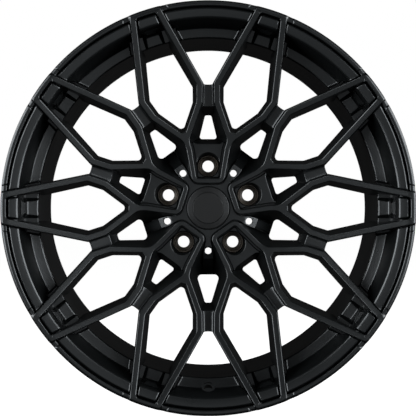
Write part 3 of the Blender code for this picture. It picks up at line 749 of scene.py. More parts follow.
# Shares of the window's inner edge that lie behind the tongue's end and its flank
LAND_END_SHARE = 0.6
LAND_FLANK_SHARE = 0.3

# Recess of the cap, with its edge as distance out and rise, and the bores behind it
RECESS_RADIUS = CAP_RADIUS + FIT_GAP
RECESS_ROUND = 1.0
RECESS_LINE = ((0.55, -0.2), (0.15, -0.6), (0.0, -1.1), (0.0, -2.0), (-1.0, -2.0))
CAP_BORE_RADIUS = 27.5
RING_BORE_RADIUS = 36.55
RING_BORE_DEPTH = 14.0
RING_BORE_CHAMFER = 1.0
REAR_CLEARANCE = 0.6


def land_level(place):
    """Hub floor, which falls away along the tongue with the small hole."""
    return HUB_FLOOR - LAND_FALL * clamp((place[1] - LAND_START) / (LAND_END - LAND_START))


def tongue_outline():
    """End of the tongue from its middle, and its flank from there back to the slot."""
    end = [(LAND_HALF * share, LAND_END) for share in shares(LAND_STEPS)]
    waist = (LAND_HALF - WAIST_INSET, LAND_END - WAIST_BACK)
    flank = [(LAND_HALF, LAND_END - LAND_SHOULDER)]
    flank += [mix(waist, (SLOT_HALF, SLOT_START), share) for share in shares(LAND_STEPS)]
    return end, flank


def tongue_ways(count):
    """Ways in which the edge of the tongue rounds over: ahead at its end, aside along its flank."""
    ahead, aside, diagonal = (0.0, 1.0), (1.0, 0.0), (math.sqrt(0.5), math.sqrt(0.5))
    ways = [ahead] * (LAND_STEPS - 1) + [diagonal] + [aside] * LAND_STEPS + [diagonal]
    return ways + [ahead] * (count - len(ways))


def side_hole():
    """Half circles down the small hole in the tongue."""
    rows = []
    for wider, drop in SIDE_HOLE_EDGE:
        row = half_round(SIDE_HOLE_CIRCLE, SIDE_HOLE_RADIUS + wider, land_level)
        rows.append([(x, y, height - drop) for x, y, height in row])
    return rows + drilled_rows(SIDE_HOLE_CIRCLE, rear_edge(SIDE_HOLE_RADIUS))


def recess_edge():
    """Edge of the cap's recess, as seen from the valley between two bolts."""
    edge = []
    for x, y, height in half_sector(RECESS_RADIUS + RECESS_ROUND, HUB_FLOOR):
        edge.append((*between_bolts(Vector((x, y))), height))
    edge[-1] = (0.0, *edge[-1][1:])
    return edge


def side_valley(skin, side, tops, plate_edge):
    """Hub floor with its drilled tongue, the slots beside it, the window, the bridge and the gap."""
    valley = Valley(skin, side, tops, plate_edge, SIDE_BRIDGE_INNER)
    end = nearest(valley.wall, SLOT_START)
    levels = [land_level(point) for point in side.row(0.0)]
    grooves = groove_rows(side, levels, [HUB_GROOVE_WIDTH] * len(levels), HUB_EDGE)
    foot, column = valley.floor_wall(grooves, end)
    tongue, flank = tongue_outline()
    lip = [(*place, land_level(place)) for place in tongue + flank]
    edge = valley.floor_end(lip, column, tongue_ways(len(lip + column)), LAND_EDGE)
    drilled, recess = side_hole(), recess_edge()
    skin.strips(drilled)
    middle = [(0.0, distance, HUB_FLOOR) for distance in FLOOR_MIDDLE] + drilled[0][::-1]
    middle.append((0.0, LAND_MIDDLE, land_level((0.0, LAND_MIDDLE))))
    crease = [(x, LAND_START, HUB_FLOOR) for x in CREASE_PLACES]
    fill_clear(skin, recess + middle + lip + foot[::-1], crease, CREASE_CLEARANCE)
    reached = LAND_END_SHARE + LAND_FLANK_SHARE
    marks = [(0, LAND_END_SHARE * share) for share in shares(len(tongue))]
    marks += [(0, blend(LAND_END_SHARE, reached, share)) for share in shares(len(flank) + 1)[1:]]
    marks += [(0, blend(reached, 1.0, share)) for share in shares(len(column))]
    edges = valley.beyond_floor(Window(*SIDE_WINDOW), edge, marks, end)
    return {"hole": drilled[-1], "recess": recess, **edges}


def bore_rows(recess):
    """Arcs from the edge of the cap's recess through the bores to the mounting face."""
    lines = stations(RECESS_RADIUS, HUB_FLOOR, RECESS_LINE)
    lines += [(radius, HUB_BACK + RING_BORE_DEPTH) for radius in (CAP_BORE_RADIUS, RING_BORE_RADIUS)]
    lines += stations(RING_BORE_RADIUS, HUB_BACK, ((0.0, RING_BORE_CHAMFER), (RING_BORE_CHAMFER, 0.0)))
    return [recess] + [half_sector(radius, height) for radius, height in lines]


def fill_rear(skin, front, beside, petal, bore):
    """Rear of the centre between its bore, holes, windows, gaps and petal."""
    loop = [bore[0]] + front["hole"][::-1] + front["window"] + front["gap"] + petal
    loop += beside["gap"][::-1] + beside["window"][::-1] + beside["hole"] + bore[:0:-1]
    rings = []
    for radius in (MOUNTING_RADIUS, MOUNTING_RADIUS + MOUNTING_CHAMFER, HUB_FACE_RADIUS):
        rings += half_sector(radius, rear_height(radius))
    fill_clear(skin, loop, rings, REAR_CLEARANCE)


def centre_half():
    """Front and rear of the centre from the line of a bolt to the line between two bolts."""
    skin, between = Skin(), Skin()
    bolt, side, petal = wheel_ridges()
    sizes = bpy.context.scene.wheel_sizes
    plate_edge = sizes.plate_round / MM
    bolt_tops = bolt.top_rows(rounding(sizes.edge_round / MM))
    side_tops = side.top_rows(rounding(sizes.edge_round / MM))
    petal_tops = petal.top_rows(rounding(sizes.petal_chamfer / MM), 1.0)
    pin(bolt_tops[-1], BOLT_BRIDGE_INNER)
    pin(side_tops[-1], SIDE_BRIDGE_INNER)
    skin.strips(bolt_tops)
    skin.strips(petal_tops)
    between.strips(side_tops)
    front = bolt_valley(skin, bolt, bolt_tops, plate_edge)
    beside = side_valley(between, side, side_tops, plate_edge)
    skin.add(between, from_between_bolts)
    for key, points in beside.items():
        beside[key] = [from_between_bolts(point) for point in points]
    side_tops = [[from_between_bolts(point) for point in row] for row in side_tops]
    petal_rear = rear_rows(petal, petal_tops[-1], petal_draft, 1.0)
    skin.strips([petal_tops[-1]] + petal_rear)
    skin.fill(bolt_tops[0] + petal_tops[0] + side_tops[0][::-1])
    for tops, index, tail in ((bolt_tops, 0, front["tail"]), (side_tops, -1, beside["tail"])):
        outer = [row[-1] for row in tops] + tail
        inner = [row[index] for row in petal_tops + petal_rear]
        skin.face(outer + inner[::-1])
    bore = bore_rows(beside["recess"])
    skin.strips(bore)
    fill_rear(skin, front, beside, petal_rear[1], bore[-1])
    return skin


def upright(skin):
    """Half a sector and its mirror image across the line of the top bolt."""
    whole = Skin()
    whole.add(skin, lambda point: point)
    whole.add(skin, lambda point: (-point[0], point[1], point[2]))
    return whole


# Rim stations as radius and height
GROOVE_OUTER = FLANGE_RADIUS - 7.3
RIDGE_OUTER = GROOVE_OUTER - 1.9
RIDGE_INNER = RIDGE_OUTER - 14.0
BAND_OUTER = RIDGE_INNER - 9.3
BARREL_FRONT = BAND_OUTER - 13.8
BARREL_REAR = BARREL_FRONT - 4.9
BARREL_WALL = 6.0
BEAD_RADIUS = FLANGE_RADIUS - 17.3
CHANNEL_LEVEL = HALF_WIDTH - 10.4
RIDGE_TOP = HALF_WIDTH - 2.8
RIDGE_END = RIDGE_TOP - 3.0
STEP_TOP = HALF_WIDTH - 9.2
BAND_LEVEL = HALF_WIDTH - 45.0
BAND_END = BAND_LEVEL - 4.5
BARREL_LINE = ((-0.2, 56.0), (-1.2, 20.0), (-2.8, -36.0))
BARREL_REAR_LEVEL = -69.0
BARREL_REAR_LINE = ((0.0, 3.0), (0.4, 0.0))

# Tyre side of a flange. The hump is given as rise over the seat's end and depth past it
FLANGE_ROUND = 4.0
FLANGE_THICKNESS = 12.7
BEAD_HEEL = 4.5
BEAD_SEAT_WIDTH = 20.0
BEAD_SEAT_TAPER = math.radians(5.0)
HUMP_LINE = ((0.0, 0.0), (0.8, 1.8), (1.1, 3.0), (0.8, 4.2), (0.0, 6.0), (-1.2, 7.8))

# Rear flange inside the barrel: steps out from the shoulder and the lip, heights over the rear lip plane
SHOULDER_RADIUS = BEAD_RADIUS - 6.0
SHOULDER_LINE = ((-2.2, 33.0), (-1.5, 32.0), (1.5, 8.0))
REAR_LIP_LINE = ((-1.0, 0.4), (0.0, 0.0))

# Drop well on the tyre side: steps out from the barrel's inside, heights from its rear end and from the lip
WELL_REAR_LINE = ((BARREL_WALL + 0.6, 6.0), (BARREL_WALL, 8.0))
WELL_FRONT_LINE = ((BARREL_WALL, -66.0), (BARREL_WALL + 0.6, -63.5))

# Flange: the pad where a rib pair lands stands above the flange in the valleys, with a notch between the two
FLANGE_RELIEF = 1.6
FLANGE_EDGE = 1.7
FLANGE_SLOPE = 2.4
FLANGE_END = 28.6
VALLEY_LIP = ((1.2, -0.3), (0.3, -0.95), (-0.3, -2.2))
PAD_LIP = ((1.0, 0.0), (0.2, -0.4), (-0.3, -1.3))
PAD_PLACES = (9.2, 10.6, 11.8, 12.8, 13.6, 14.4)
PAD_FLAT = 17.0
PAD_EDGE = 20.5
PAD_EDGE_LINE = ((-2.0, 0.0), (-1.2, 0.18), (0.0, 1.05))
PAD_SLANT = 0.2
PAD_WALL = 1.6
PAD_CORNER = 3.3
PAD_CORNER_START = 11.0
PAD_CORNER_END = 18.0
NOTCH_DEPTH = 3.4
NOTCH_CORNER = 1.2

# Edges of the raised faces: share of the size back from the corner, share of it down or up
EDGE_SHAPE = ((1.0, 0.0), (0.72, 0.06), (0.3, 0.38), (0.08, 0.75), (0.0, 1.0))
UPTURN_SHAPE = ((1.0, 0.0), (0.72, 0.06), (0.36, 0.3), (0.1, 0.7), (0.0, 1.0))
CORE_SHARES = (0.0, 0.25, 0.5, 0.75)
RIM_EDGE = 2.2
EDGE_SHARE = 0.45
LEAST_DROP = 0.001
CHANNEL_CUTS = 6
VALLEY_CUTS = 12


def tyre_side():
    """Tyre side of a flange from its edge to the well, as radius and depth from the lip plane."""
    line = quarter((FLANGE_RADIUS - FLANGE_ROUND, FLANGE_THICKNESS - FLANGE_ROUND), 0, 90, FLANGE_ROUND)
    heel = FLANGE_THICKNESS + BEAD_HEEL
    line += quarter((BEAD_RADIUS + BEAD_HEEL, heel), -90, -180, BEAD_HEEL)
    seat = BEAD_RADIUS - BEAD_SEAT_WIDTH * math.tan(BEAD_SEAT_TAPER)
    return line + stations(seat, heel + BEAD_SEAT_WIDTH, HUMP_LINE)


def pad_bend(x):
    """How far the inner edge of the pad runs in, in the rounded corners at the two ribs."""
    across = min(PAD_CORNER, max(0.0, x - PAD_CORNER_START))
    return PAD_CORNER - math.sqrt(PAD_CORNER**2 - across**2)


def spread(row, place):
    """Row of distances, radii and heights, taken on to the middle of the valley, as plan points."""
    points = [(*polar(radius, math.asin(x / radius)), height) for x, radius, height in row]
    first = math.asin(row[-1][0] / row[-1][1])
    for share in shares(VALLEY_CUTS + 1)[1:]:
        points.append((*polar(place[0], blend(first, PAIR_ANGLE, share)), place[1]))
    return points


def flange_rows():
    """Rows over the flange, each from the middle of a rib pair to the middle of a valley."""
    round_edge = quarter((FLANGE_RADIUS - FLANGE_ROUND, HALF_WIDTH - FLANGE_ROUND), 0, 90, FLANGE_ROUND)
    valley = round_edge + stations(GROOVE_OUTER, HALF_WIDTH, VALLEY_LIP)
    pad = round_edge + stations(GROOVE_OUTER, HALF_WIDTH, PAD_LIP)
    rows = []
    for k, ((low_radius, low), (radius, high)) in enumerate(zip(valley, pad)):
        slant = PAD_SLANT * (FLANGE_RADIUS - radius)
        edge, end = PAD_EDGE + slant, FLANGE_END + slant
        row = []
        for x in [PAD_PLACES[0] * share for share in CORE_SHARES] + list(PAD_PLACES):
            row.append((x, radius - (pad_bend(x) if k >= len(round_edge) else 0.0), high))
        row.append((PAD_FLAT, radius, high))
        row += [(edge + past, radius, high - drop) for past, drop in PAD_EDGE_LINE]
        row.append((edge + PAD_WALL, radius, high - NOTCH_DEPTH))
        row.append((end - NOTCH_CORNER, low_radius, low - NOTCH_DEPTH))
        for back, below in reversed(EDGE_SHAPE):
            row.append((end + FLANGE_SLOPE * back, low_radius, low - FLANGE_RELIEF - FLANGE_EDGE * below))
        rows.append(spread(row, (low_radius, low - FLANGE_RELIEF)))
    return rows


def bank(top, channel, edge, start, way):
    """Rounded edge of a raised face above a channel, from the face down to its end at the start."""
    drop = max(LEAST_DROP, math.dist(top, channel))
    size = min(edge, EDGE_SHARE * drop)
    row = []
    for back, below in EDGE_SHAPE:
        row.append((start + way * size * back, *mix(top, channel, size / drop * below)))
    return row


def upturn(top, rise, start):
    """End of a raised face that sweeps up to its edge."""
    return [(start + rise * back, top[0], top[1] + rise * up) for back, up in UPTURN_SHAPE]


def island_row(pocket, valley, channel, ends, edge=RIM_EDGE, bend=0.0, rise=0.0):
    """Row over the raised pocket between two ribs, the channel milled round them and the raised valley.

    The ends are distances from the middle: end of the pocket, both sides of the channel, end of the valley.
    """
    island, foot, far_foot, far_island = ends
    near = bank(pocket, channel, edge, island, -1.0)
    row = [(near[0][0] * share, *pocket) for share in CORE_SHARES] + near
    row += [(blend(foot, far_foot, share), *channel) for share in shares(CHANNEL_CUTS + 1)]
    row = [(x, radius - bend * pad_bend(x) * (x < PAD_CORNER_END), height) for x, radius, height in row]
    far = upturn(valley, rise, far_island) if rise else bank(valley, channel, edge, far_island, 1.0)
    return spread(row + far[::-1], valley)


# Groove between the flange and the ridge: radius, rise over its floor, share of the pad's bend
LIP_GROOVE_LINE = (
    (GROOVE_OUTER - 0.5, 1.5, 1.0), (GROOVE_OUTER - 0.8, 0.0, 0.95), (RIDGE_OUTER + 0.5, 1.2, 0.4),
)
LIP_GROOVE_ENDS = (11.6, 14.4, 24.0, 26.0)


def lip_groove_rows():
    rows = []
    for radius, rise, bend in LIP_GROOVE_LINE:
        place = (radius, CHANNEL_LEVEL + rise)
        rows.append(island_row(place, place, place, LIP_GROOVE_ENDS, bend=bend))
    return rows


# Ridge: its crown, its fall to the step, and the channel's slope beside that fall
RIDGE_FOOT = (0.1, 2.4)
RIDGE_CROWN = ((-0.1, -3.1), (-0.6, -1.8), (-1.5, -0.85), (-2.6, -0.3), (-6.2, -1.1))
RIDGE_FALL = ((3.2, 0.45), (1.8, -0.15), (0.8, -1.0), (0.2, -2.1), (0.0, -3.4))
RIDGE_CHANNEL = ((3.8, -12.0), (2.8, -13.6), (1.9, -15.2), (1.2, -16.6), (0.8, -17.8))
RIDGE_HALF = (12.7, 14.4)
RIDGE_START = (23.6, 26.1)
RIDGE_BANK = 1.4
RIDGE_START_BANK = 0.6
RIDGE_UPTURN = 1.6
RIDGE_BEND = 0.3


def ridge_rows():
    """Raised ring inside the groove, cut by the channels."""
    ridge = stations(RIDGE_OUTER, CHANNEL_LEVEL, (RIDGE_FOOT,))
    ridge += stations(RIDGE_OUTER, RIDGE_TOP, RIDGE_CROWN) + stations(RIDGE_INNER, RIDGE_END, RIDGE_FALL)
    channel = [(RIDGE_OUTER + step[0], CHANNEL_LEVEL) for step in (RIDGE_FOOT, *RIDGE_CROWN)]
    channel += stations(RIDGE_INNER, HALF_WIDTH, RIDGE_CHANNEL)
    rows = []
    for k, (place, low) in enumerate(zip(ridge, channel)):
        share = (RIDGE_OUTER - place[0]) / (RIDGE_OUTER - RIDGE_INNER)
        half, start = blend(*RIDGE_HALF, share), blend(*RIDGE_START, share)
        ends = (half, half + RIDGE_BANK, start - RIDGE_START_BANK, start)
        rows.append(island_row(place, place, low, ends, bend=0.0 if k else RIDGE_BEND, rise=RIDGE_UPTURN))
    return rows


# Step wall: facet in a pocket and channel beside it, from the ridge down, and where both end
STEP_FACET = ((-0.6, -14.0), (-1.9, -22.5), (-2.3, -22.0), (-7.0, -28.0), (-7.4, -29.0))
STEP_FACET_FOOT = (1.8, 2.0)
STEP_CHANNEL = ((-0.2, -21.0), (-1.2, -27.0), (-2.0, -31.0), (-2.9, -37.0), (-3.7, -43.0), (-4.6, -48.0))
STEP_FACET_ENDS = ((13.0, 15.6), (10.4, 14.6), (10.0, 13.6), (6.3, 11.0), (6.8, 11.5), (10.0, 14.4))
STEP_FOOT = (0.6, 2.0)
STEP_START = (26.6, 33.6)
STEP_BANK = 2.6
STEP_EDGE = 0.4


def step_rows():
    """Wall between the ridge and the band, with a facet in each pocket."""
    foot = stations(BAND_OUTER, BAND_LEVEL, (STEP_FOOT,))[0]
    pocket = stations(RIDGE_INNER, HALF_WIDTH, STEP_FACET)
    pocket += stations(BAND_OUTER, BAND_LEVEL, (STEP_FACET_FOOT,))
    channel = stations(RIDGE_INNER, HALF_WIDTH, STEP_CHANNEL)
    rows = []
    for share, facet, low, ends in zip(shares(len(pocket) + 1)[1:], pocket, channel, STEP_FACET_ENDS):
        valley = mix((RIDGE_INNER, STEP_TOP), foot, share)
        start = blend(*STEP_START, share)
        rows.append(island_row(facet, valley, low, (*ends, start - STEP_BANK, start), STEP_EDGE))
    return rows


# Band: its outer edge, its fall to the barrel, and the channel beside both
BAND_EDGE = ((-0.2, 0.4), (-1.4, -0.8))
BAND_FALL = ((2.5, 0.8), (1.5, 0.3), (0.75, -0.5), (0.25, -1.6), (-0.05, -3.2))
BAND_CHANNEL = ((3.8, -5.2), (1.2, -6.0))
BARREL_CHANNEL = ((2.2, -8.4), (1.6, -8.8), (1.0, -9.8), (0.5, -11.4), (0.1, -14.6))
BAND_HALF = (10.2, 11.7)
BAND_CHANNEL_START = 13.6
BAND_START = (32.7, 35.6)
BAND_START_BANK = 1.2
BAND_POCKET_SHIFT = 1.2
BAND_POCKET_END = 3.0
BAND_POCKET_EDGE = 2.4
BAND_UPTURN = 2.6


def band_rows():
    """Raised band at the front of the barrel, cut by the channels."""
    band = stations(BAND_OUTER, BAND_LEVEL, BAND_EDGE) + stations(BARREL_FRONT, BAND_END, BAND_FALL)
    channel = stations(BAND_OUTER, BAND_LEVEL, BAND_CHANNEL)
    channel += stations(BARREL_FRONT, BAND_LEVEL, BARREL_CHANNEL)
    rows = []
    for place, low in zip(band, channel):
        share = (BAND_OUTER - place[0]) / (BAND_OUTER - BARREL_FRONT)
        start = blend(*BAND_START, share)
        ends = (blend(*BAND_HALF, share), BAND_CHANNEL_START, start - BAND_START_BANK, start)
        pocket = (place[0] + BAND_POCKET_SHIFT * max(0.0, 1.0 - BAND_POCKET_END * share), place[1])
        rows.append(island_row(pocket, place, low, ends, BAND_POCKET_EDGE, rise=BAND_UPTURN))
    return rows


def barrel_lines():
    """Barrel, rear flange and tyre side, from the band back to the edge of the street flange."""
    line = stations(BARREL_FRONT, 0.0, BARREL_LINE)
    line += stations(BARREL_REAR, BARREL_REAR_LEVEL, BARREL_REAR_LINE)
    line += stations(SHOULDER_RADIUS, -HALF_WIDTH, SHOULDER_LINE)
    line += stations(GROOVE_OUTER, -HALF_WIDTH, REAR_LIP_LINE)
    edge = quarter((FLANGE_RADIUS - FLANGE_ROUND, HALF_WIDTH - FLANGE_ROUND), 90, 0, FLANGE_ROUND)
    line += [(radius, -height) for radius, height in edge]
    line += [(radius, depth - HALF_WIDTH) for radius, depth in tyre_side()]
    line += stations(BARREL_REAR, BARREL_REAR_LEVEL, WELL_REAR_LINE)
    line += stations(BARREL_FRONT, HALF_WIDTH, WELL_FRONT_LINE)
    return line + [(radius, HALF_WIDTH - depth) for radius, depth in reversed(tyre_side())]


def rim_period():
    """One of ten like parts of the rim: a pad with its pocket and half a valley on either side."""
    rows = flange_rows() + lip_groove_rows() + ridge_rows() + step_rows() + band_rows()
    first, last = ([math.atan2(point[0], point[1]) for point in row] for row in (rows[0], rows[-1]))
    lines = barrel_lines()
    for k, (radius, height) in enumerate(lines):
        share = (k + 1) / (len(lines) + 1)
        rows.append([(*polar(radius, blend(b, a, share)), height) for a, b in zip(first, last)])
    skin = Skin()
    skin.strips(rows + rows[:1])
    return upright(skin)


def turned_skin(profile, steps, closed=True):
    """Body of revolution about the axle from radius and height."""
    skin = Skin()
    rows = []
    for radius, height in profile + (profile[:1] if closed else []):
        rows.append([(*polar(radius, 2 * math.pi * (k % steps) / steps), height) for k in range(steps + 1)])
    skin.strips(rows)
    return skin


# Bolt seat: outside, flat rim and cone, as steps from the outer edge at its top and the hole at its base
SEAT_TOP = SEAT_SHELF + 9.3
SEAT_BASE = SEAT_SHELF + FIT_GAP
SEAT_RADIUS = SEAT_BORE_RADIUS - 0.1
SEAT_RIM = ((0.0, -2.6), (-0.9, -0.4), (-1.2, 0.0), (-1.7, 0.0), (-2.0, -0.3))
SEAT_CONE = ((3.4, 4.6), (2.9, 4.2), (0.5, 2.6), (0.0, 1.8), (0.0, 0.0))
SEAT_STEPS = 48


def bolt_seat_skin():
    profile = [(SEAT_RADIUS, SEAT_BASE)] + stations(SEAT_RADIUS, SEAT_TOP, SEAT_RIM)
    profile += stations(BOLT_HOLE_RADIUS, SEAT_BASE, SEAT_CONE)
    skin = Skin()
    skin.add(turned_skin(profile, SEAT_STEPS), lambda point: (point[0], point[1] + BOLT_CIRCLE, point[2]))
    return skin


# Cap: its face falls a little from the inlay to the edge
TURNED_STEPS = 120
CAP_BASE = HUB_BACK + 35.0 + FIT_GAP
CAP_CROWN = 1.2
CAP_EDGE = 1.5
CAP_CHAMFER = 0.3
CAP_WALL = 3.2
INLAY_RADIUS = 20.3
INLAY_EDGE = 0.5
INLAY_HALF = 0.7
INLAY_RECESS = 1.0
SKIRT_OUTER = 26.6
SKIRT_INNER = 24.8
SKIRT_TIP = CAP_BASE - 14.0
SKIRT_BARB = ((0.0, 3.0), (0.6, 1.5), (0.0, 0.0))
SKIRT_SLOT_COUNT = 6
SKIRT_SLOT_CORNERS = ((-2.5, 23.4), (2.5, 23.4), (2.5, 28.0), (-2.5, 28.0))
SKIRT_SLOT_LEVELS = (SKIRT_TIP - 2.0, CAP_BASE - 1.8)

# Wire ring in the cap's skirt
SPRING_WIRE = 2.0
SPRING_OPENING = math.radians(24.0)
SPRING_HEIGHT = SKIRT_TIP + 1.5
SPRING_STEPS = 96
WIRE_STEPS = 12

# Centring ring
RING_OUTER = 36.25
RING_INNER = 33.3
RING_LEVELS = (HUB_BACK + FIT_GAP, HUB_BACK + 13.7)
RING_EDGE = 0.4
RING_OUTER_CHAMFER = 0.75
RING_INNER_CHAMFER = 1.5


def cap_lines():
    """Cap from the middle of its recess, over the rim, down the skirt and back up inside it."""
    recess, floor = INLAY_RADIUS + FIT_GAP, CAP_FACE - INLAY_RECESS
    line = [(0.0, floor), (recess, floor), (recess, CAP_FACE - CAP_CHAMFER), (recess + CAP_CHAMFER, CAP_FACE)]
    line += quarter((CAP_RADIUS - CAP_EDGE, CAP_FACE - CAP_CROWN - CAP_EDGE), 90, 0, CAP_EDGE)
    line += stations(CAP_RADIUS, CAP_BASE, ((0.0, CAP_CHAMFER), (-CAP_CHAMFER, 0.0)))
    line += [(SKIRT_OUTER, CAP_BASE)] + stations(SKIRT_OUTER, SKIRT_TIP, SKIRT_BARB)
    inside = CAP_FACE - CAP_WALL
    return line + [(SKIRT_INNER, SKIRT_TIP), (SKIRT_INNER, inside), (0.0, inside)]


def skirt_slot_skin():
    """Box that cuts one slot between two of the cap's fingers."""
    skin = Skin()
    box = [[(x, y, height) for x, y in SKIRT_SLOT_CORNERS] for height in SKIRT_SLOT_LEVELS]
    skin.strips([row + row[:1] for row in box])
    for row in box:
        skin.face(row)
    return skin


def inlay_lines():
    low, high = CAP_FACE - INLAY_HALF, CAP_FACE + INLAY_HALF
    edge = quarter((INLAY_RADIUS - INLAY_EDGE, high - INLAY_EDGE), 90, 0, INLAY_EDGE)
    return [(0.0, high)] + edge + [(INLAY_RADIUS, low), (0.0, low)]


def centring_ring_lines():
    low, high = RING_LEVELS
    line = stations(RING_OUTER, high, ((0.0, -RING_EDGE),))
    line += stations(RING_OUTER, low, ((0.0, RING_OUTER_CHAMFER), (-RING_OUTER_CHAMFER, 0.0)))
    line += stations(RING_INNER, low, ((RING_INNER_CHAMFER, 0.0), (0.0, RING_INNER_CHAMFER)))
    line += stations(RING_INNER, high, ((0.0, -RING_EDGE), (RING_EDGE, 0.0)))
    return line + stations(RING_OUTER, high, ((-RING_EDGE, 0.0),))


def spring_skin():
    """Open wire ring inside the cap's fingers."""
    skin = Skin()
    half = SPRING_WIRE / 2
    radius = SKIRT_INNER - FIT_GAP - half
    rings = []
    for share in shares(SPRING_STEPS + 1):
        angle = SPRING_OPENING / 2 + (2 * math.pi - SPRING_OPENING) * share
        ring = []
        for m in range(WIRE_STEPS + 1):
            around = 2 * math.pi * (m % WIRE_STEPS) / WIRE_STEPS
            place = polar(radius + half * math.cos(around), angle)
            ring.append((*place, SPRING_HEIGHT + half * math.sin(around)))
        rings.append(ring)
    skin.strips(rings)
    for ring in (rings[0], rings[-1]):
        skin.face(ring[:-1])
    return skin


# Mesh tolerances in metres, and the weight of large faces in the shading
WELD = 2e-6
SLIVER = 1e-7
FACE_WEIGHT = 50


def preset(node, values):
    """Sets inputs of a node by their names."""
    for name, value in values.items():
        node.inputs[name].default_value = value


def copies_tree():
    """Node tree that sets turned copies of a mesh round the axle and joins them."""
    tree = bpy.data.node_groups.new("turned_copies", "GeometryNodeTree")
    tree.is_modifier = True
    for name, kind in (("Geometry", "Geometry"), ("Count", "Int"), ("Material", "Material")):
        tree.interface.new_socket(name, in_out="INPUT", socket_type=f"NodeSocket{kind}")
    tree.interface.new_socket("Geometry", in_out="OUTPUT", socket_type="NodeSocketGeometry")
    new, link = tree.nodes.new, tree.links.new
    source, result = new("NodeGroupInput"), new("NodeGroupOutput")
    points, index = new("GeometryNodePoints"), new("GeometryNodeInputIndex")
    share, angle = new("ShaderNodeMath"), new("ShaderNodeMath")
    share.operation, angle.operation = "DIVIDE", "MULTIPLY"
    angle.inputs[1].default_value = 2 * math.pi
    turned, place = new("ShaderNodeCombineXYZ"), new("GeometryNodeInstanceOnPoints")
    real, weld = new("GeometryNodeRealizeInstances"), new("GeometryNodeMergeByDistance")
    paint = new("GeometryNodeSetMaterial")
    preset(weld, {"Distance": WELD})
    link(source.outputs["Count"], points.inputs["Count"])
    link(index.outputs[0], share.inputs[0])
    link(source.outputs["Count"], share.inputs[1])
    link(share.outputs[0], angle.inputs[0])
    link(angle.outputs[0], turned.inputs["Y"])
    link(points.outputs[0], place.inputs["Points"])
    link(source.outputs["Geometry"], place.inputs["Instance"])
    link(turned.outputs[0], place.inputs["Rotation"])
    link(place.outputs[0], real.inputs[0])
    link(real.outputs[0], weld.inputs["Geometry"])
    link(weld.outputs[0], paint.inputs["Geometry"])
    link(source.outputs["Material"], paint.inputs["Material"])
    link(paint.outputs[0], result.inputs[0])
    return tree


def baked(obj, name):
    """Plain mesh of an object with its modifiers applied. The object is removed."""
    graph = bpy.context.evaluated_depsgraph_get()
    mesh = bpy.data.meshes.new_from_object(obj.evaluated_get(graph))
    mesh.name = name
    bpy.data.objects.remove(obj)
    return mesh


def working_object(name, data):
    obj = bpy.data.objects.new(name, data)
    bpy.context.scene.collection.objects.link(obj)
    return obj


def copied(name, skin, count, paint):
    """Mesh of turned copies of a skin."""
    obj = working_object(name, skin.mesh(name))
    tree = bpy.data.node_groups.get("turned_copies") or copies_tree()
    modifier = obj.modifiers.new("Copies", "NODES")
    modifier.node_group = tree
    values = {"Count": count, "Material": paint}
    for item in tree.interface.items_tree:
        if item.in_out == "INPUT" and item.name in values:
            modifier[item.identifier] = values[item.name]
    return baked(obj, name)


def outward(mesh):
    """Welds a mesh, checks that it is closed and turns its normals outward."""
    shape = bmesh.new()
    shape.from_mesh(mesh)
    bmesh.ops.remove_doubles(shape, verts=shape.verts, dist=WELD)
    bmesh.ops.dissolve_degenerate(shape, edges=shape.edges, dist=SLIVER)
    loose = [edge for edge in shape.edges if len(edge.link_faces) != 2]
    if loose:
        spot = tuple(round(value / MM, 2) for value in loose[0].verts[0].co)
        raise RuntimeError(f"{mesh.name} has {len(loose)} open edges, one of them at {spot} mm")
    bmesh.ops.recalc_face_normals(shape, faces=shape.faces)
    if shape.calc_volume(signed=True) < 0:
        bmesh.ops.reverse_faces(shape, faces=shape.faces)
    shape.to_mesh(mesh)
    shape.free()


def finished(name, mesh, paint, sharp=50.0):
    """Object at the origin, shaded smooth up to the sharp angle in degrees and flat on its large faces."""
    outward(mesh)
    mesh.materials.clear()
    mesh.materials.append(paint)
    mesh.shade_smooth()
    mesh.set_sharp_from_angle(angle=math.radians(sharp))
    obj = working_object(name, mesh)
    weighted = obj.modifiers.new("Weighted", "WEIGHTED_NORMAL")
    weighted.keep_sharp = True
    weighted.weight = FACE_WEIGHT
    return working_object(name, baked(obj, name))


def cut_away(name, mesh, tools):
    """Mesh that is left when the tools are cut from a closed mesh. The tools are removed."""
    outward(mesh)
    obj = working_object(name, mesh)
    for tool in tools:
        modifier = obj.modifiers.new("Cut", "BOOLEAN")
        modifier.operation = "DIFFERENCE"
        modifier.solver = "EXACT"
        modifier.object = tool
    mesh = baked(obj, name)
    for tool in tools:
        bpy.data.objects.remove(tool)
    return mesh


def cylinder(name, radius, low, high, steps):
    """Closed cylinder along the local Z axis."""
    mesh = bpy.data.meshes.new(name)
    shape = bmesh.new()
    size = {"radius1": radius * MM, "radius2": radius * MM, "depth": (high - low) * MM}
    bmesh.ops.create_cone(shape, cap_ends=True, segments=steps, **size)
    bmesh.ops.translate(shape, verts=shape.verts, vec=(0.0, 0.0, (low + high) / 2 * MM))
    shape.to_mesh(mesh)
    shape.free()
    return mesh


def mount(obj, body, slot, *nodes):
    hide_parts(*nodes)
    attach(obj, body)


# Finish: a cool gloss, with uneven roughness and a fine grain
GLOSS_TINT = (0.89, 0.955, 1.0, 1.0)
GLOSS_SPREAD = 0.04
CLOUD = {"Scale": 38.0, "Detail": 3.0}
GRAIN_DETAIL = 2.0
GRAIN_BUMP = {"Strength": 0.06, "Distance": 0.0002}


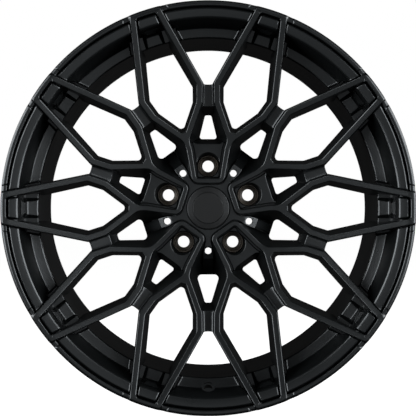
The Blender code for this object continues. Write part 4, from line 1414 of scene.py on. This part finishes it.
def shader(name, colour, roughness, grain, variation, metallic=0.0, specular=0.5):
    """Finish with a little mottling, a fine grain and uneven gloss."""
    paint = bpy.data.materials.new(name)
    paint.use_nodes = True
    new, link = paint.node_tree.nodes.new, paint.node_tree.links.new
    surface = paint.node_tree.nodes["Principled BSDF"]
    place, mottle = new("ShaderNodeTexCoord"), new("ShaderNodeMix")
    cloud, speck = new("ShaderNodeTexNoise"), new("ShaderNodeTexNoise")
    gloss, bump = new("ShaderNodeMapRange"), new("ShaderNodeBump")
    preset(cloud, CLOUD)
    preset(speck, {"Scale": grain, "Detail": GRAIN_DETAIL})
    preset(bump, GRAIN_BUMP)
    preset(gloss, {"To Min": roughness - GLOSS_SPREAD, "To Max": roughness + GLOSS_SPREAD})
    mottle.data_type = "RGBA"
    for tone, share in (("A", 1 - variation), ("B", 1 + variation)):
        mottle.inputs[tone].default_value = [*(min(1.0, value * share) for value in colour), 1.0]
    for texture in (cloud, speck):
        link(place.outputs["Object"], texture.inputs["Vector"])
    link(cloud.outputs[0], mottle.inputs["Factor"])
    link(mottle.outputs["Result"], surface.inputs["Base Color"])
    link(cloud.outputs[0], gloss.inputs["Value"])
    link(gloss.outputs[0], surface.inputs["Roughness"])
    link(speck.outputs[0], bump.inputs["Height"])
    link(bump.outputs["Normal"], surface.inputs["Normal"])
    preset(surface, {"Metallic": metallic, "Specular IOR Level": specular, "Specular Tint": GLOSS_TINT})
    return paint


class WheelSizes(bpy.types.PropertyGroup):
    edge_round: bpy.props.FloatProperty(
        name="Edge rounding", description="Radius of the rounded rib and cradle edges",
        default=0.0013, unit="LENGTH",
    )
    petal_chamfer: bpy.props.FloatProperty(
        name="Petal chamfer", description="Width of the chamfer along the petal windows",
        default=0.0014, unit="LENGTH",
    )
    plate_round: bpy.props.FloatProperty(
        name="Plate rounding", description="Radius at the ends of the bridge plates",
        default=0.0012, unit="LENGTH",
    )


class WheelColours(bpy.types.PropertyGroup):
    paint: bpy.props.FloatVectorProperty(
        name="Paint", description="Satin paint of the centre",
        default=(0.0025, 0.003, 0.0032), subtype="COLOR",
    )
    barrel: bpy.props.FloatVectorProperty(
        name="Rim paint", description="Satin paint of the rim",
        default=(0.0025, 0.003, 0.0032), subtype="COLOR",
    )
    cap: bpy.props.FloatVectorProperty(
        name="Cap", description="Moulded cap",
        default=(0.004, 0.004, 0.004), subtype="COLOR",
    )
    inlay: bpy.props.FloatVectorProperty(
        name="Inlay", description="Disc in the cap",
        default=(0.006, 0.006, 0.006), subtype="COLOR",
    )
    wire: bpy.props.FloatVectorProperty(
        name="Wire", description="Bright wire of the ring in the cap",
        default=(0.55, 0.55, 0.56), subtype="COLOR",
    )
    steel: bpy.props.FloatVectorProperty(
        name="Seats", description="Bare metal of the bolt seats",
        default=(0.05, 0.042, 0.034), subtype="COLOR",
    )
    ring: bpy.props.FloatVectorProperty(
        name="Centring ring", description="Grey ring in the hub bore",
        default=(0.14, 0.14, 0.15), subtype="COLOR",
    )


class WheelStage(bpy.types.PropertyGroup):
    distance: bpy.props.FloatProperty(
        name="Camera distance", description="From the lip to the camera",
        default=2.45, unit="LENGTH",
    )
    picture_width: bpy.props.FloatProperty(
        name="Picture width", description="Width seen at the lip",
        default=0.5413, unit="LENGTH",
    )
    side_light: bpy.props.FloatProperty(
        name="Side light", description="Power of each side softbox",
        default=58.0, unit="POWER",
    )
    rear_light: bpy.props.FloatProperty(
        name="Rear light", description="Power of each softbox behind the wheel",
        default=25.0, unit="POWER",
    )
    ambient: bpy.props.FloatProperty(name="Ambient", description="Strength of the room's light", default=0.44)


# Finishes of the paint, of the step wall, and of the cap with its inlay. The step wall's finish is a matt
# copy of the paint with little gloss, which paints shade on it
SATIN = {"roughness": 0.29, "grain": 1500.0, "variation": 0.12}
STEP_SHADE_FINISH = {"roughness": 0.45, "grain": 1500.0, "variation": 0.12, "specular": 0.08}
CAP_FINISH = {"grain": 1200.0, "variation": 0.1, "specular": 0.35}


class WHEEL_OT_centre(bpy.types.Operator):
    """Build the forged centre with its ribs, cradles and windows"""

    bl_idname = "wheel.centre"
    bl_label = "Forged centre"

    def execute(self, context):
        paint = shader("satin_black_paint", context.scene.wheel_colours.paint, **SATIN)
        mesh = copied("forged_centre_visual", upright(centre_half()), BOLT_COUNT, paint)
        mount(finished("forged_centre_visual", mesh, paint), "wheel", "centre_paint", "forged_centre")
        return {"FINISHED"}


# Valve hole in the band at the bottom: diameter, inner and outer end of each cut, and lean from the radius
VALVE_CUTS = {"valve_seat": (17.0, -20.0, 0.8), "valve_hole": (11.3, -20.0, 20.0)}
VALVE_LEAN = math.radians(62.0)
VALVE_STEPS = 32

# Step wall with painted shade, in a matt copy of the paint with little gloss: its faces look nearly straight
# at the axle and lie below this height
STEP_FACING = -0.9
STEP_WALL_TOP = HALF_WIDTH - 9.0


def valve_tool(name, diameter, low, high):
    """Cylinder that leans through the band at the bottom of the rim."""
    tool = working_object(name, cylinder(name, diameter / 2, low, high, VALVE_STEPS))
    way = Vector((0.0, math.sin(VALVE_LEAN), -math.cos(VALVE_LEAN)))
    tool.rotation_euler = way.to_track_quat("Z", "Y").to_euler()
    tool.location = (0.0, -BAND_LEVEL * MM, -BAND_OUTER * MM)
    return tool


def in_step_wall(face):
    """True for the faces of the rim that stand steep between the ridge and the band."""
    out = Vector((face.center.x, 0.0, face.center.z))
    radius, height = out.length / MM, -face.center.y / MM
    steep = face.normal.dot(out.normalized()) < STEP_FACING
    return steep and BAND_OUTER < radius < RIDGE_INNER and BAND_LEVEL < height < STEP_WALL_TOP


class WHEEL_OT_rim(bpy.types.Operator):
    """Build the rim with its lip, barrel and valve hole"""

    bl_idname = "wheel.rim"
    bl_label = "Rim"

    def execute(self, context):
        colour = context.scene.wheel_colours.barrel
        paint = shader("satin_black_barrel", colour, **SATIN)
        skin = Skin()
        skin.add(rim_period(), lambda point: (*turn(Vector(point[:2]), PAIR_ANGLE), point[2]))
        mesh = copied("rim_visual", skin, 2 * BOLT_COUNT, paint)
        tools = [valve_tool(name, *size) for name, size in VALVE_CUTS.items()]
        mesh = cut_away("rim_visual", mesh, tools)
        rim = finished("rim_visual", mesh, paint, sharp=38.0)
        # Steep faces of the step wall take a matt, nearly glossless copy of the paint: painted shade
        rim.data.materials.append(shader("matt_black_step_painted_shade", colour, **STEP_SHADE_FINISH))
        for face in rim.data.polygons:
            if in_step_wall(face):
                face.material_index = 1
        mount(rim, "wheel", "barrel_paint", "rim_barrel")
        return {"FINISHED"}


class WHEEL_OT_bolt_seats(bpy.types.Operator):
    """Build the five pressed-in bolt seats"""

    bl_idname = "wheel.bolt_seats"
    bl_label = "Bolt seats"

    def execute(self, context):
        colour = context.scene.wheel_colours.steel
        paint = shader("seat_steel", colour, roughness=0.5, grain=900.0, variation=0.15, metallic=0.3)
        mesh = copied("bolt_seats_visual", bolt_seat_skin(), BOLT_COUNT, paint)
        nodes = [f"bolt_seat_{k + 1}" for k in range(BOLT_COUNT)]
        mount(finished("bolt_seats_visual", mesh, paint, sharp=35.0), "wheel", "seat_steel", *nodes)
        return {"FINISHED"}


class WHEEL_OT_cap(bpy.types.Operator):
    """Build the snap-in cap with its inlay and wire ring"""

    bl_idname = "wheel.cap"
    bl_label = "Centre cap"

    def execute(self, context):
        colours = context.scene.wheel_colours
        plastic = shader("cap_plastic", colours.cap, roughness=0.38, **CAP_FINISH)
        metal = shader("inlay_metal", colours.inlay, roughness=0.36, **CAP_FINISH)
        wire = shader("spring_wire", colours.wire, roughness=0.3, grain=900.0, variation=0.1, metallic=1.0)
        slots = copied("skirt_slots", skirt_slot_skin(), SKIRT_SLOT_COUNT, plastic)
        outward(slots)
        mesh = turned_skin(cap_lines(), TURNED_STEPS, False).mesh("cap_visual")
        mesh = cut_away("cap_visual", mesh, [working_object("skirt_slots", slots)])
        mount(finished("cap_visual", mesh, plastic, sharp=40.0), "cap", "cap_plastic", "centre_cap")
        mesh = turned_skin(inlay_lines(), TURNED_STEPS, False).mesh("inlay_visual")
        mount(finished("inlay_visual", mesh, metal, sharp=40.0), "cap", "inlay_metal", "cap_inlay")
        mesh = spring_skin().mesh("spring_visual")
        mount(finished("spring_visual", mesh, wire, sharp=40.0), "cap", "spring_wire", "cap_spring_ring")
        return {"FINISHED"}


class WHEEL_OT_centring_ring(bpy.types.Operator):
    """Build the ring that centres the wheel on its hub"""

    bl_idname = "wheel.centring_ring"
    bl_label = "Centring ring"

    def execute(self, context):
        colour = context.scene.wheel_colours.ring
        paint = shader("ring_metal", colour, roughness=0.45, grain=900.0, variation=0.12, metallic=0.2)
        mesh = turned_skin(centring_ring_lines(), TURNED_STEPS).mesh("centring_ring_visual")
        ring = finished("centring_ring_visual", mesh, paint, sharp=35.0)
        mount(ring, "centring_ring", "ring_metal", "hub_ring")
        return {"FINISHED"}


# Brightness of the room from straight behind the wheel, 0, to straight in front of it, 1
ROOM = ((0.0, 0.036), (0.45, 0.036), (0.7, 0.14), (0.9, 1.0), (1.0, 1.0))

# Share of that brightness on the left and right, with a blend over this much on either side of the middle
ROOM_SIDES = (0.76, 1.26)
ROOM_BLEND = 0.15

# Floor, with the light that it gives off to the camera alone
FLOOR_CORNERS = ((-12.0, -6.0), (12.0, -6.0), (12.0, 18.0), (-12.0, 18.0))
FLOOR_COLOUR = (0.35, 0.35, 0.35, 1.0)
FLOOR_GLOW = 0.96

# Softboxes on either side in metres: place on the right, target, width and height
SIDE_SOFTBOX = ((1.5, -0.95, 0.3), (0.0, -0.5, 0.15), 1.5, 1.6)
REAR_SOFTBOX = ((2.2, 0.7, 0.6), (0.0, 0.1, 0.0), 1.2, 1.2)

# Black cards in front of the wheel in metres: middle, width and height
CARDS = {"upper_flag": ((-0.05, -1.0, 0.36), 0.48, 0.34), "lower_flag": ((0.0, -1.0, -1.15), 2.0, 1.1)}
CARD_COLOUR = (0.002, 0.002, 0.002, 1.0)

# Camera beside the axle in metres, and the picture's shift in pixels
CAMERA_ACROSS = -0.009
CAMERA_ABOVE = 0.008
SENSOR_WIDTH = 36.0
PICTURE_PIXELS = 416
SHIFT_PIXELS = (-0.35, 0.15)


def studio_world(strength):
    """White to the camera. For everything else a room that is lit round the wheel's street side."""
    world = bpy.data.worlds.new("studio")
    world.use_nodes = True
    new, link = world.node_tree.nodes.new, world.node_tree.links.new
    world.node_tree.nodes.clear()
    path, place, split = new("ShaderNodeLightPath"), new("ShaderNodeTexCoord"), new("ShaderNodeSeparateXYZ")
    level, room, power = new("ShaderNodeMapRange"), new("ShaderNodeValToRGB"), new("ShaderNodeMath")
    side, chosen = new("ShaderNodeMapRange"), new("ShaderNodeMix")
    shine, out = new("ShaderNodeBackground"), new("ShaderNodeOutputWorld")
    left, right = (strength * share for share in ROOM_SIDES)
    preset(level, {"From Min": 1.0, "From Max": -1.0})
    preset(side, {"From Min": -ROOM_BLEND, "From Max": ROOM_BLEND, "To Min": left, "To Max": right})
    preset(chosen, {"B": 1.0})
    preset(shine, {"Color": (1.0, 1.0, 1.0, 1.0)})
    power.operation = "MULTIPLY"
    stops = room.color_ramp.elements
    while len(stops) < len(ROOM):
        stops.new(0.5)
    for stop, (spot, value) in zip(stops, ROOM):
        stop.position = spot
        stop.color = (value, value, value, 1.0)
    link(place.outputs["Generated"], split.inputs[0])
    link(split.outputs["Y"], level.inputs["Value"])
    link(level.outputs[0], room.inputs["Fac"])
    link(split.outputs["X"], side.inputs["Value"])
    link(room.outputs["Color"], power.inputs[0])
    link(side.outputs[0], power.inputs[1])
    link(path.outputs["Is Camera Ray"], chosen.inputs["Factor"])
    link(power.outputs[0], chosen.inputs["A"])
    link(chosen.outputs["Result"], shine.inputs["Strength"])
    link(shine.outputs[0], out.inputs["Surface"])
    return world


def floor_paint():
    """Pale floor that stays near white to the camera and still takes a soft shadow."""
    paint = bpy.data.materials.new("pale_floor")
    paint.use_nodes = True
    new, link = paint.node_tree.nodes.new, paint.node_tree.links.new
    paint.node_tree.nodes.clear()
    path, level = new("ShaderNodeLightPath"), new("ShaderNodeMath")
    matt, glow = new("ShaderNodeBsdfDiffuse"), new("ShaderNodeEmission")
    both, out = new("ShaderNodeAddShader"), new("ShaderNodeOutputMaterial")
    level.operation = "MULTIPLY"
    level.inputs[1].default_value = FLOOR_GLOW
    preset(matt, {"Color": FLOOR_COLOUR})
    link(path.outputs["Is Camera Ray"], level.inputs[0])
    link(level.outputs[0], glow.inputs["Strength"])
    link(matt.outputs[0], both.inputs[0])
    link(glow.outputs[0], both.inputs[1])
    link(both.outputs[0], out.inputs["Surface"])
    return paint


def card_paint():
    paint = bpy.data.materials.new("black_card")
    paint.use_nodes = True
    surface = paint.node_tree.nodes["Principled BSDF"]
    preset(surface, {"Base Color": CARD_COLOUR, "Specular IOR Level": 0.0})
    return paint


def sheet(name, corners, paint):
    """Flat four-sided piece of the stage."""
    mesh = bpy.data.meshes.new(name)
    mesh.from_pydata(corners, [], [(0, 1, 2, 3)])
    mesh.materials.append(paint)
    obj = working_object(name, mesh)
    obj.visible_diffuse = False
    return obj


def card(name, place, width, height, paint):
    """Black card, seen in the wheel's gloss alone."""
    x, y, z = place
    corners = [(x + width * a / 2, y, z + height * b / 2) for a, b in ((-1, -1), (1, -1), (1, 1), (-1, 1))]
    obj = sheet(name, corners, paint)
    obj.visible_camera = False
    obj.visible_shadow = False


def softboxes(name, place, target, width, height, power):
    """Pair of like area lights, left and right of the wheel."""
    for side, way in (("left", -1), ("right", 1)):
        light = bpy.data.lights.new(f"{name}_{side}", "AREA")
        light.shape = "RECTANGLE"
        light.size, light.size_y = width, height
        light.energy = power
        obj = working_object(f"{name}_{side}", light)
        obj.location = (way * place[0], *place[1:])
        obj.rotation_euler = (Vector(target) - obj.location).to_track_quat("-Z", "Y").to_euler()


class WHEEL_OT_stage(bpy.types.Operator):
    """Set up the floor, the room, the lights with their black cards, and the camera"""

    bl_idname = "wheel.stage"
    bl_label = "Stage"

    def execute(self, context):
        scene, stage = context.scene, context.scene.wheel_stage
        floor = sheet("floor", [(x, y, -FLANGE_RADIUS * MM) for x, y in FLOOR_CORNERS], floor_paint())
        floor.visible_glossy = False
        scene.world = studio_world(stage.ambient)
        softboxes("softbox", *SIDE_SOFTBOX, stage.side_light)
        softboxes("rear", *REAR_SOFTBOX, stage.rear_light)
        black = card_paint()
        for name, size in CARDS.items():
            card(name, *size, black)
        data = bpy.data.cameras.new("camera")
        camera = working_object("camera", data)
        camera.location = (CAMERA_ACROSS, -HALF_WIDTH * MM - stage.distance, CAMERA_ABOVE)
        camera.rotation_euler = (math.pi / 2, 0.0, 0.0)
        data.sensor_width = SENSOR_WIDTH
        data.lens = SENSOR_WIDTH * stage.distance / stage.picture_width
        data.shift_x = -CAMERA_ACROSS / stage.picture_width + SHIFT_PIXELS[0] / PICTURE_PIXELS
        data.shift_y = -CAMERA_ABOVE / stage.picture_width + SHIFT_PIXELS[1] / PICTURE_PIXELS
        scene.camera = camera
        scene.view_settings.view_transform = "Standard"
        return {"FINISHED"}


class WHEEL_PT_panel(bpy.types.Panel):
    """Steps that build the wheel, with its sizes and colours"""

    bl_idname = "WHEEL_PT_panel"
    bl_label = "Forged racing wheel"
    bl_space_type = "VIEW_3D"
    bl_region_type = "UI"
    bl_category = "Wheel"

    def draw(self, context):
        for group in GROUPS:
            box = self.layout.box()
            settings = getattr(context.scene, group)
            for name in settings.__annotations__:
                box.prop(settings, name)
        for step in STEPS:
            self.layout.operator(step.bl_idname)


STEPS = (
    WHEEL_OT_centre, WHEEL_OT_rim, WHEEL_OT_bolt_seats, WHEEL_OT_cap, WHEEL_OT_centring_ring, WHEEL_OT_stage
)
GROUPS = {"wheel_sizes": WheelSizes, "wheel_colours": WheelColours, "wheel_stage": WheelStage}


def register():
    for item in (*GROUPS.values(), *STEPS, WHEEL_PT_panel):
        bpy.utils.register_class(item)
    for name, group in GROUPS.items():
        setattr(bpy.types.Scene, name, bpy.props.PointerProperty(type=group))


def unregister():
    for name in GROUPS:
        delattr(bpy.types.Scene, name)
    for item in (WHEEL_PT_panel, *reversed(STEPS), *reversed(GROUPS.values())):
        bpy.utils.unregister_class(item)


def main():
    register()
    bpy.ops.wheel.centre()
    bpy.ops.wheel.rim()
    bpy.ops.wheel.bolt_seats()
    bpy.ops.wheel.cap()
    bpy.ops.wheel.centring_ring()
    bpy.ops.wheel.stage()


if __name__ == "__main__":
    main()
